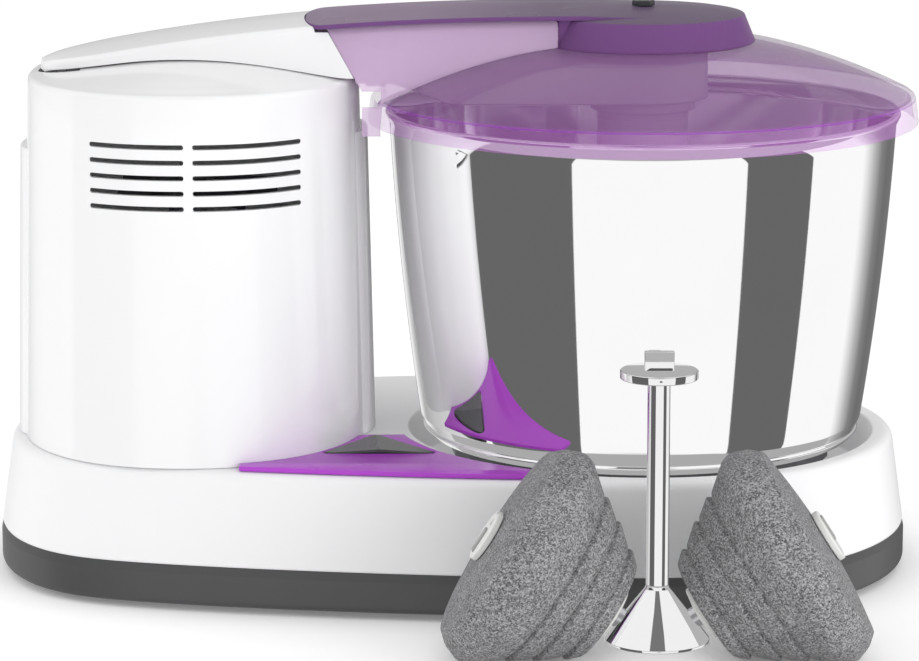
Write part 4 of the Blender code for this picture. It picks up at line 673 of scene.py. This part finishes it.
def tower_outline(offset, count=288):
    """The tower's plan, grown by an offset."""
    return squared_ellipse(np.arange(count) * TAU / count, TOWER_HALF + offset) + [TOWER_X, 0]


def tower_growth(height):
    """The draft: how much wider the tower is at a height than at its top edge."""
    return 0.0042 * (TOWER_EDGE - height) / (TOWER_EDGE - BASE_TOP)


def crown_height(x, y):
    """Height of the domed top: edge + rise (1 - q^2)^1.3, with q the squared ellipse's share at (x, y)."""
    share = np.abs((x - TOWER_X) / TOWER_HALF[0]) ** TOWER_POWER + np.abs(y / TOWER_HALF[1]) ** TOWER_POWER
    return TOWER_EDGE + 0.011 * np.clip(1 - share ** (2 / TOWER_POWER), 0, None) ** 1.3


def tower_rows(depth):
    """Rows from the foot up the wall, over the rounded edge and in to the crown's middle, at a depth."""
    rows = [(tower_outline(tower_growth(z) - depth), z)
            for z in np.linspace(TOWER_FOOT, TOWER_EDGE - TOWER_ROUND, 14)]
    rows += [(tower_outline(TOWER_ROUND * (math.cos(t) - 1) - depth),
              TOWER_EDGE + TOWER_ROUND * (math.sin(t) - 1) - depth * math.sin(t))
             for t in np.linspace(0.15, np.pi / 2, 7)]
    middle = np.array([TOWER_X, 0])
    for share in [*np.linspace(0.94, 0.12, 15), 0]:
        ring = middle + (tower_outline(-TOWER_ROUND) - middle) * share
        rows.append((ring, crown_height(*ring.T) - depth))
    return stacked(rows)


def make_tower():
    """The white tower shell with its ribs, vents and the slot for the arm's tip."""
    points = np.concatenate([tower_rows(0), tower_rows(TOWER_WALL)[::-1]])
    tower = mesh_of(points, grid_faces(*points.shape[:2], wrap_rows=True))
    ribs = [rib(1, 0.2272, 0.0037), rib(-1, 0.2185, 0.004)]
    tower = fused(tower, ribs)
    slot = arm_plan_outline(0.0012, -0.284)
    cutters = [vent_cutters(), prism(slot, 0.2435, 0.28)]
    tower = cut(tower, cutters, crease=28)
    piece("tower_shell", tower, white_gloss, "base", ["motor_tower"])


def rib(side, top, stand):
    """A flat-topped half oval rib up one end of the tower, which stands out by a little."""
    levels = []
    for z, ease in [(TOWER_FOOT, 0), (top - 0.0012, 0), (top - 0.0004, 0.0004), (top, 0.0012)]:
        bow = squared_ellipse(np.linspace(-np.pi / 2, np.pi / 2, 41), RIB - ease, RIB_SHARE)
        face = TOWER_HALF[0] + tower_growth(z) + stand - RIB[0]
        levels.append((side * (bow + [face, 0]) + [TOWER_X, 0], z))
    return lofted(levels)


def vent_cutters():
    """Five rows of slots in two columns, each a stadium pushed through the front wall."""
    slots, top, pitch, half = [], 0.2305, 0.0076, 0.00125
    for row in range(5):
        low, high = top - row * pitch - half, top - row * pitch + half
        for left, right in ((-0.049, -0.0022), (0.0022, 0.0542)):
            outline = eased([(left, low), (right, low), (right, high), (left, high)], half, 6, True)
            slots.append(lofted([(outline + [TOWER_X + 0.003, 0], z) for z in (-0.06, -0.105)]))
    return sideways(joined(slots))


def sideways(mesh):
    """Swap depth and height: what was drawn flat stands upright, facing the front."""
    mesh.transform(Matrix(((1, 0, 0, 0), (0, 0, 1, 0), (0, 1, 0, 0), (0, 0, 0, 1))))
    mesh.flip_normals()
    return mesh


# Drum and what stands in it

KNEE_RADIUS, KNEE_HEIGHT, BEAD, DRUM_WALL = 0.1137, 0.0785, 0.0018, 0.001


def make_drum():
    """The polished drum: rolled rim, wall, rounded knee over a foot ring, and the floor. The wall bulges: its
    radius at a rise t over the knee is the knee's plus 0.15 t - 0.3125 t^2."""
    turn = np.linspace(math.radians(150), math.radians(-30), 14)
    rim = paired(0.1296 + BEAD * np.cos(turn), 0.2347 + BEAD * np.sin(turn))
    rise = np.linspace(0.1515, 0.002, 40)
    wall = paired(KNEE_RADIUS + 0.15 * rise - 0.3125 * rise ** 2, KNEE_HEIGHT + rise)
    foot = eased([wall[-1], (0.11365, KNEE_HEIGHT), (0.1112, 0.0735), (0.1124, 0.0722), (0.109, 0.0688),
                  (0.103, 0.0675), (0, 0.0675)], [0, 0.003, 0.0004, 0.0012, 0.002, 0.004, 0], 6)
    line = distinct(np.concatenate([rim, wall, foot[1:]]))
    piece("drum_bowl", turned(walled(line, DRUM_WALL), 256), drum_steel, "drum", ["drum_shell"])
    slab = rounded([(9.3, 68.8), (102.5, 68.8), (102.5, 89.8), (9.3, 89.8)], 1.2, 4, True)
    piece("drum_floor_slab", turned(slab), grinding_stone, "drum", ["drum_base_stone"])
    post = rounded([(0, 113.8), (9, 113.8), (9, 69.1), (0, 69.1)], [0, 1.8, 0, 0], 5)
    piece("drum_post", turned(post, 48), bright_chrome, "drum", ["drum_centre_post"])


# Lid

DOME_TOP, DOME_FALL, DOME_START, DOME_REACH = 0.2735, 0.0295, 0.034, 0.1045
PLASTIC_WALL = 0.0022
SLOT_HALF = 0.0334


def dome_height(radius):
    """Height of the dome's outside: top - fall ((r - start) / reach)^1.75."""
    return DOME_TOP - DOME_FALL * np.clip((radius - DOME_START) / DOME_REACH, 0, 1) ** 1.75


def lid_profile():
    """The lid's outside, from the hole at the top over the dome and the rounded shoulder down the skirt."""
    r = np.linspace(0.028, 0.1345, 34)
    dome = paired(r, dome_height(r))
    edge = eased([dome[-1], (0.1386, 0.244), (0.1405, 0.231)], [0, 0.003, 0], 6)[1:]
    return np.vstack([dome, edge])


def make_lid():
    """The clear lid and skirt in one moulding, slotted for the arm, and the stepped boss under the arm."""
    lid = turned(walled(lid_profile(), PLASTIC_WALL), 256)
    slot = stadium(SLOT_HALF, -0.15)
    lid = cut(lid, [prism(slot, 0.2414, 0.29)], crease=28)
    piece("lid", lid, lid_lilac, "lid", ["lid_dome", "lid_skirt"])
    line = rounded([(0, 241.7), (26.8, 241.7), (26.8, 235.9), (21.8, 235.9), (21.8, 232.3), (23, 232.3),
                    (23, 212.3), (19.5, 212.3), (19.5, 232.3), (0, 232.3)],
                   [0, 0.8, 1.2, 0.6, 0.6, 0.8, 1, 0.5, 0.6, 0], 4)
    boss = turned(line, 96)
    boss = cut(boss, [box_mesh((-7.3, -2.8, 226.3), (7.3, 2.8, 240.8))])
    piece("boss", boss, beam_grey, "lid", ["lid_boss"])


def stadium(half, left):
    """A strip from a square left end to a round right end over the drum axis."""
    t = np.linspace(-np.pi / 2, np.pi / 2, 48)
    return np.vstack([[left, -half], half * paired(np.cos(t), np.sin(t)), [left, half]])


# Arm

TIP, START, PEAK = -0.307, -0.3062, 0.2882
JOINT_TOP, JOINT_FOOT = 0.162, 0.146
ARM_HALF, ARM_LEAN, ARM_END, ARM_POWER = 0.0355, 0.2, 0.045, 2.2
REAR_DROP, FRONT_DROP = 0.0016, 0.003


def arm_top(x):
    """The arm's top line: the peak less 0.011 s^2.6, with s the reach left of it, and rounded at the tip."""
    reach = np.clip(-0.01 - x, 0, None) / 0.215
    end = np.clip(0.01 + TIP - x, 0, None) / 0.01
    return PEAK - 0.011 * reach ** 2.6 - 0.0015 * end ** 2


def arm_width(x):
    """Half width of the arm's top edge: half (1 - u^2.2)^(1 / 2.2), with u running to 1 at the tip."""
    share = np.clip((ARM_END + TIP - x) / ARM_END, 0, 1)
    return ARM_HALF * (1 - share ** ARM_POWER) ** (1 / ARM_POWER)


def arm_foot_width(x):
    half = arm_width(x)
    return half + ARM_LEAN * (arm_top(x) - REAR_DROP - crown_height(x, half))


def arm_plan_outline(offset, end_x):
    """The rear end of the arm in plan, grown by an offset."""
    share = np.linspace(0, 1, 40) ** 2
    x = START + (end_x - START) * share
    half = arm_foot_width(x) + offset
    x = x - offset * (1 - share)
    return np.concatenate([paired(x, -half), paired(x, half)[::-1]])


def joint_x(z):
    """The slanted joint between the white and the clear part of the arm."""
    share = np.clip((z - 0.256) / 0.028, 0, None)
    return -JOINT_FOOT - (JOINT_TOP - JOINT_FOOT) * share


def arm_grid(top_x, foot, drop, depth, place, corner=0.0026, rise=0.0016):
    """Sections across the arm, foot to foot. The side leans in by 0.2 of its height, then an eased corner
    leads to a low arch, crease + rise (1 - (y / half)^2), and all is drawn in by a depth."""
    edge = (arm_top(top_x) - drop)[:, None]
    crease = edge - depth
    half = (arm_width(top_x) - depth)[:, None]
    v = np.linspace(0, 1, 15)[None, :]
    low = crease - corner
    side_z = foot[:, None] + (low - foot[:, None]) * v
    side_y = half + ARM_LEAN * (edge - side_z)
    inner = np.maximum(half - corner, half * 0.5)
    arch_y = inner * np.linspace(1, 0, 15)[None, :]
    arch_z = crease + rise * (1 - (arch_y / np.maximum(half, 1e-6)) ** 2)
    s = np.linspace(0, 1, 7)[None, 1:-1]
    corner_y = side_y[:, -1:] * (1 - s) ** 2 + 2 * half * s * (1 - s) + arch_y[:, :1] * s ** 2
    corner_z = side_z[:, -1:] * (1 - s) ** 2 + 2 * crease * s * (1 - s) + arch_z[:, :1] * s ** 2
    y, z = mirrored(np.concatenate([side_y, corner_y, arch_y], 1),
                    np.concatenate([side_z, corner_z, arch_z], 1))
    return np.stack([place(z), y, z], -1)


def rear_grid(shares, depth):
    """The white cover's sections, whose lean grows towards the slanted joint."""
    top_x = START + (-JOINT_TOP - START) * shares
    foot_x = START + (-JOINT_FOOT - START) * shares
    foot = crown_height(foot_x, arm_foot_width(foot_x)) + 0.0009
    return arm_grid(top_x, foot, REAR_DROP, depth,
                    lambda z: START + (joint_x(z) - 0.0002 - START) * shares[:, None])


def make_rear_cover():
    """The white cover of the arm, from its tip to the joint, with a notch for the dark strip."""
    shares = np.linspace(0, 1, 61) ** 1.3
    first = PLASTIC_WALL / (-JOINT_TOP - START)
    inner = first + (1 - first) * shares
    cover = sheet_pair(rear_grid(shares, 0), rear_grid(inner, PLASTIC_WALL))
    notch = prism(strip_outline(0.0004), 0.279, 0.3)
    cover = cut(cover, [notch], crease=28)
    piece("arm_rear", cover, white_gloss, "lid", ["arm_rear_cover"])


def front_grid(x, depth):
    foot = np.full(len(x), 0.228)
    return arm_grid(x, foot, FRONT_DROP, depth, lambda z: x[:, None] + 0 * z, 0.0008, 0.0005)


def upright(outline):
    """A body wider than the arm from an outline in (x, z)."""
    return sideways(lofted([(outline, -0.06), (outline, 0.06)]))


def make_front_cover():
    """The clear walls and top of the arm, from the joint to the cap, cut where the lid passes under it."""
    x = -0.168 * (1 - np.linspace(0, 1, 61))
    cover = sheet_pair(front_grid(x, 0), front_grid(x, PLASTIC_WALL))
    left, low, high = -0.19, 0.22, 0.3
    edge = [(-0.1423, low), (-0.1423, 0.25)] + [(joint_x(z) + 0.0002, z) for z in (0.256, high)]
    leaning = upright(np.vstack([[left, low], edge, [left, high]]))
    a = np.linspace(0, np.pi / 2, 7)
    corner = paired(-0.046 + 0.0017 * np.sin(a), 0.283 + 0.0017 * np.cos(a))
    end = upright(np.vstack([[-0.046, high], corner, [[-0.0443, 0.25], [0.01, 0.25], [0.01, high]]]))
    lid_room = np.vstack([[0, 0.07], [0.1409, 0.07], lid_profile()[::-1] + [0.0003, 0.0003], [0, 0.2739]])
    cap_room = [(0, high), (0.0519, high), (0.0519, 0.2845), (0.0574, 0.271), (0.0574, 0.256), (0, 0.256)]
    near_window = box_mesh((-148, -60, 242), (-133, -30, 250))
    far_window = box_mesh((-148, 30, 220), (-133, 60, 241))
    cutters = [leaning, turned(lid_room, 256), turned(cap_room), end, near_window, far_window]
    cover = cut(cover, cutters, crease=28)
    piece("arm_front", cover, arm_lilac, "lid", ["arm_front_cover"])


BEAM_HALF, BEAM_FLOOR = 0.033, 0.2417


def beam_bottom(x):
    """The beam's underside: just over the tower's crown, a run up, then level over the drum from x = -0.1."""
    run = np.clip((-0.1 - x) / 0.028, 0, 1)
    return np.where(x > -0.146, BEAM_FLOOR + 0.011 * run ** 0.8, crown_height(x, 0 * x) + 0.0012)


def beam_shoulder(x):
    """The line where the beam's upright sides turn inwards: 0.2607 - 0.0185 s^1.7, with s the reach from
    x = -0.04 over the 0.06 that it takes to come down to the underside."""
    reach = np.clip((-0.04 - x) / 0.06, 0, 1)
    return np.maximum(0.2607 - 0.0185 * reach ** 1.7, beam_bottom(x) + 0.0005)


def make_beam():
    """The arm's inner beam, from the hinge over the tower to its round end that carries the boss."""
    x = np.concatenate([np.linspace(-0.282, -0.1465, 24), np.linspace(-0.1455, 0, 60),
                        BEAM_HALF * np.sin(np.linspace(0.1, np.pi / 2, 12))])
    half = BEAM_HALF * np.sqrt(np.clip(1 - (np.clip(x, 0, None) / (BEAM_HALF + 1e-6)) ** 2, 0, None))
    half = np.where(x < -0.16, 0.014 + (BEAM_HALF - 0.016) * np.clip((x + 0.25) / 0.05, 0, 1), half)
    half = np.maximum(half, 0.002)
    bottom, shoulder = beam_bottom(x), beam_shoulder(x)
    top = arm_top(x) - np.where(x > -0.16, 0.008, 0.0056)
    shoulder = np.minimum(shoulder, top - 0.001)
    lean = 0.009 * np.clip(half / BEAM_HALF, 0, 1)
    across = np.stack([half - 0.0008, half, half, half - 0.0015, half - lean, 0 * half], 1)
    height = np.stack([bottom, bottom + 0.0008 * (half > 0.002), shoulder, shoulder + 0.002, top, top], 1)
    y, z = mirrored(np.maximum(across, 0), height)
    points = ended(np.stack([x[:, None] + 0 * y, y, z], -1))
    beam = mesh_of(points, grid_faces(*points.shape[:2]), crease=24)
    piece("beam", beam, beam_grey, "lid", ["arm_beam"])


STRIP_HALF, STRIP_LIP, LIP_ROUND, STRIP_WALL = 0.0385, 0.0021, 0.0006, 0.002
CAP_RADIUS, CAP_FALL, CAP_WALL = 0.0505, 0.0032, 0.0024


def strip_outline(offset):
    """The dark strip in plan, with its rounded left end, grown by an offset."""
    half = STRIP_HALF + offset
    a = np.pi / 2 + np.pi * np.linspace(0, 1, 40)
    end = paired(-0.162 + (0.01 + offset) * np.cos(a), half * np.sin(a))
    return np.vstack([end, [0, -half], [0, half]])


def cap_drop(radius):
    """How far the cap's top lies under the peak: fall (r / radius)^2.2."""
    return CAP_FALL * (radius / CAP_RADIUS) ** 2.2


def strip_drop(x, y):
    """The strip's fall towards its sides, 0.0008 (y / half)^2, which turns into the cap's over the drum."""
    share = np.clip((x + 0.03) / 0.028, 0, 1)
    return (1 - share) * 0.0008 * (y / STRIP_HALF) ** 2 + share * (cap_drop(np.hypot(x, y)) - 0.00006)


def strip_grid(depth):
    """Sections of the strip: a low arch across, with a lip down each side."""
    left, right = -0.1715, -0.002
    x = left + (right - left) * np.linspace(0, 1, 81) ** 1.6
    run = np.clip((x + 0.172) / 0.01, 0, 1)
    half = (STRIP_HALF * np.sqrt(1 - (1 - run) ** 2))[:, None] - depth
    a = np.linspace(0, np.pi / 2, 7)[None, :]
    lip_y = np.concatenate([half + 0 * a[:, :3], half - LIP_ROUND * (1 - np.cos(a))], 1)
    lip_d = np.concatenate([STRIP_LIP - (STRIP_LIP - LIP_ROUND) * np.linspace(0, 1, 3)[None, :] + 0 * half,
                            LIP_ROUND * (1 - np.sin(a)) + 0 * half], 1)
    arch_y = (half - LIP_ROUND) * np.linspace(0.95, 0, 12)[None, :]
    y, down = mirrored(np.concatenate([lip_y, arch_y], 1), np.concatenate([lip_d, 0 * arch_y], 1))
    z = arm_top(x)[:, None] - down - strip_drop(x[:, None], y) - depth * np.clip(1 - down / STRIP_LIP, 0, 1)
    return np.stack([x[:, None] + 0 * y, y, z], -1)


def make_top_cover():
    """The smoked strip along the arm and the round cap over the drum axis, with webs that close the gap
    between them, and the black bolt."""
    r = np.linspace(0.0033, CAP_RADIUS, 16)
    top = paired(r, PEAK - cap_drop(r))
    line = eased([top[-2], (0.0514, 0.2847), (0.057, 0.271)], [0, 0.0012, 0], 8)[1:]
    cap = turned(walled(np.vstack([top[:-1], line]), CAP_WALL), 160)
    gate = box_mesh((-63, -33.4, 265), (0, 33.4, 280.8))
    cap = cut(cap, [gate])
    strip = sheet_pair(strip_grid(0), strip_grid(STRIP_WALL))
    webs = [box_mesh((-44, low, 272.8), (-33, high, 286.2)) for low, high in ((33.4, 35), (-35, -33.4))]
    cap = fused(cap, [strip, *webs], crease=28)
    piece("top_cover", cap, smoke_violet, "lid", ["arm_top_cover"])
    turn = np.arange(6) * TAU / 6
    hexagon = 0.0058 * paired(np.cos(turn), np.sin(turn))
    head = prism(eased(hexagon, 0.0004, 3, True), 0.2885, 0.2913, 0.0007)
    shank = turned([(0, 0.26), (0.003, 0.26), (0.003, 0.289), (0, 0.289)], 32)
    bolt = fused(head, [shank])
    piece("bolt", bolt, key_black, "lid", ["cap_bolt"])


# Roller set

TILT = math.radians(32.5)
ROLLER_PLACE = DRUM_AXIS + [0, -0.197, 0]


def stone_profile():
    """A stone as (radius, place along its axle): a cone in bands, a rounded rim and a domed face."""
    corners, radii = [(10, 7.3), (25.5, 7.3)], [0, 3.5]
    for radius, place in ((30.5, 15), (38.7, 27), (45.5, 38)):
        corners += [(radius + 0.3, place - 1.8), (radius - 1.5, place), (radius + 0.9, place + 1.4)]
        radii += [1.4, 0.3, 1.2]
    corners += [(56, 51), (57.7, 56), (54.5, 64.5), (50, 69.6)]
    line = rounded(corners, radii + [6, 8, 8, 0], 6)
    r = np.linspace(0.05, 0.01, 16)[1:]
    face = paired(r, 0.0737 - 0.0042 * (r / 0.05) ** 2)
    return distinct(np.vstack([line, face]))


def axle_matrix(side):
    """Turn +Z out along the left or the right axle, from its start beside the cone."""
    joint = JOINTS["stone_left_spin" if side < 0 else "stone_right_spin"]
    return Matrix.Translation(joint["pos_m"]) @ Matrix.Rotation(side * (math.pi / 2 - TILT), 4, "Y")


def make_stone(word, side):
    """One stone with its nylon bush and its end cap."""
    body = f"{word}_stone"

    def mount(name, mesh, material, body, nodes):
        mesh.transform(axle_matrix(side))
        piece(f"{name}_{word}", mesh, material, body, nodes, (0, 0, 0))

    mount("grindstone", turned(stone_profile(), 160), grinding_stone, body, [f"stone_{word}"])
    bush = rounded([(5.3, 65.2), (9.7, 65.2), (9.7, 7), (13.5, 7), (13.5, 4.2), (8.5, 4.2), (8, 3.4),
                    (5.3, 3.4)], [0, 0.5, 0, 0.8, 1, 0.4, 0.6, 0], 4)
    mount("bushing", turned(bush, 56), nylon, body, [f"bush_{word}"])
    cap = rounded([(0, 77), (13, 77), (13, 74), (9.7, 74), (9.7, 65.5), (0, 65.5)],
                  [0, 0.9, 0.5, 0, 0.5, 0], 4)
    bar = box_mesh((-9.8, -3, 75.5), (2.8, 3, 77.9), 0.4)
    mount("cap_bar", bar, bar_grey, body, ())
    seat = box_mesh((-10, -3.2, 75.2), (3, 3.2, 80))
    slot = box_mesh((5.2, -2.8, 74.5), (8.6, 2.8, 80))
    notch = box_mesh((11.2, -2.4, 73), (15, 2.4, 80))
    cap = cut(turned(cap, 72), [seat, slot, notch], crease=40)
    mount("end_cap", cap, nylon, body, [f"stone_cap_{word}"])
    rod = rounded([(0, 64.9), (5, 64.9), (5, -8.6), (0, -8.6)], [0, 0.8, 0.4, 0], 3)
    mount("axle_rod", turned(rod, 48), bright_steel, "roller_set", [f"axle_{word}"])


def make_rollers():
    """The standing roller set: cone, shaft with disc and key, and the two stones."""
    cone = rounded([(0, 24.4), (3.5, 24.4), (3.5, 36.7), (5.4, 36.7), (6, 35.2), (25, 11), (25, 9.7),
                    (0, 9.7)], [0, 0, 0, 0.3, 2, 0.6, 0.4, 0], 4)
    piece("hub_cone", turned(cone, 96), bright_chrome, "roller_set", ["roller_cone"], ROLLER_PLACE)
    line = rounded([(0, 140.7), (18.4, 140.7), (18.4, 136.7), (5.4, 136.7), (5.4, 37), (3.2, 37),
                    (3.2, 24.7), (0, 24.7)], [0, 0.5, 0.5, 1, 0.4, 0, 0, 0], 4)
    shaft = turned(line, 96)
    key = box_mesh((-7, -2.5, 138.7), (7, 2.5, 149.7), 0.3)
    shaft = fused(shaft, [key])
    piece("hub_shaft", shaft, bright_chrome, "roller_set", ["roller_shaft"], ROLLER_PLACE)
    make_stone("left", -1)
    make_stone("right", 1)


# Stage

def make_floor():
    """A pale floor that keeps the shadow. Gloss doesn't see it, so metal shows the plain studio."""
    mesh = bpy.data.meshes.new("floor")
    size = 40
    corners = [(-size, -size, 0), (size, -size, 0), (size, size, 0), (-size, size, 0)]
    mesh.from_pydata(corners, [], [(0, 1, 2, 3)])
    finish = Finish("floor", (0.97, 0.97, 0.97), 1, Specular_IOR_Level=0, Emission_Color=(1, 1, 1, 1),
                    Emission_Strength=0.12)
    mesh.materials.append(finish.material)
    floor = shown("floor", mesh)
    floor.visible_glossy = False


class Studio(Finish):
    """The world's nodes, written in the same way as a finish."""

    def __init__(self, tree):
        self.tree = tree

    def seen_by(self, ray):
        return self.node("ShaderNodeLightPath", output=ray)

    @staticmethod
    def between(number, low, high):
        """1 where the number lies between two others."""
        return number.math("GREATER_THAN", number, low) * number.math("LESS_THAN", number, high)


def make_world():
    """A plain white studio. Gloss sees it darker where flags stand: two near ones left and right, a soft one
    round the back, a small low one, one overhead and the ground. The azimuth is 0 in front and grows to the
    right; z is the direction's rise. Light that has bounced off anything matt sees no flags."""
    world = bpy.data.worlds.new("studio")
    bpy.context.scene.world = world
    world.use_nodes = True
    tree = world.node_tree
    tree.nodes.clear()
    studio = Studio(tree)
    between = studio.between
    direction = studio.node("ShaderNodeTexCoord", output="Generated")
    x, y, z = [studio.coordinate(direction, i) for i in range(3)]
    azimuth = x.math("ARCTAN2", x, y * -1)
    near = (between(azimuth, -1.57, -0.6) + between(azimuth, 0.806, 1.42)) * 0.863
    turn = azimuth / TAU + 0.5
    left = studio.ramp(turn, [(0, 0.9), (0.012, 0.9), (0.025, 0.1), (0.038, 0.12), (0.07, 0.58),
                              (0.11, 0.45), (0.2, 0.3), (0.25, 0)])
    right = studio.ramp(turn, [(0.829, 0), (0.86, 0.51), (0.884, 0.77), (0.912, 0.84), (0.952, 0.82),
                               (1, 0.7)])
    low = z * -1 - 0.32
    low = low.math("MAXIMUM", low, 0)
    back = (left + right) * (1 - low * low * 9) * z.math("LESS_THAN", z, -0.05)
    overhead = between(azimuth, -0.4, 0.4) * z.math("GREATER_THAN", z, 0.7) * 0.8
    small = between(azimuth, -0.02, 0.12) * between(z, -0.24, -0.17) * 0.9
    ground = z.math("LESS_THAN", z, -0.52) * 0.58
    around = between(z, -0.08, 0.45) * 0.5
    bounces = studio.seen_by("Diffuse Depth")
    direct = 1 - bounces.math("GREATER_THAN", bounces, 0.5)
    gloss = 1 - direct * (between(z, -0.52, 0.5) * (near + back) + overhead + small + ground)
    gloss = gloss * (1 - direct * around)
    matt = z * -0.05 + 0.925
    seen, shiny = studio.seen_by("Is Camera Ray"), studio.seen_by("Is Glossy Ray")
    level = seen + (1 - seen) * (shiny * gloss + (1 - shiny) * matt)
    background = tree.nodes.new("ShaderNodeBackground")
    background.inputs["Color"].default_value = (1, 1, 1, 1)
    tree.links.new(level.socket, background.inputs["Strength"])
    output = tree.nodes.new("ShaderNodeOutputWorld")
    tree.links.new(background.outputs[0], output.inputs["Surface"])


def add_lamp(name, place, target, watts):
    """A soft square lamp, 1.2 m wide, that looks at a target and doesn't show in gloss."""
    data = bpy.data.lights.new(name, "AREA")
    data.shape, data.size, data.energy = "SQUARE", 1.2, watts
    lamp = shown(name, data)
    lamp.location = place
    lamp.rotation_euler = (Vector(target) - Vector(place)).to_track_quat("-Z", "Y").to_euler()
    lamp.visible_glossy = lamp.visible_camera = False


def make_camera():
    """A long lens in front, a little to the left and above, looking down."""
    sensor_mm, picture_wide, focal_pixels, down = 36, 919, 4053.1, 11.4
    data = bpy.data.cameras.new("camera")
    data.sensor_width, data.lens = sensor_mm, focal_pixels * sensor_mm / picture_wide
    data.clip_start, data.clip_end = 0.05, 200
    camera = shown("camera", data)
    camera.location = DRUM_AXIS + [-0.0935, -2.0527, 0.5336]
    camera.rotation_euler = (math.radians(90 - down), 0, 0)
    bpy.context.scene.camera = camera


finish_cad_nodes()
make_base()
make_small_base_parts()
make_switch()
make_tower()
make_drum()
make_lid()
make_rear_cover()
make_front_cover()
make_top_cover()
make_beam()
make_rollers()
make_floor()
make_world()
add_lamp("right", (1.5, -1.6, 0.5), (-0.1, 0, 0.15), 17)
add_lamp("left", (-2.4, 0.5, 0.5), (-0.2, 0, 0.15), 15)
make_camera()
bpy.context.scene.view_settings.view_transform = "Standard"
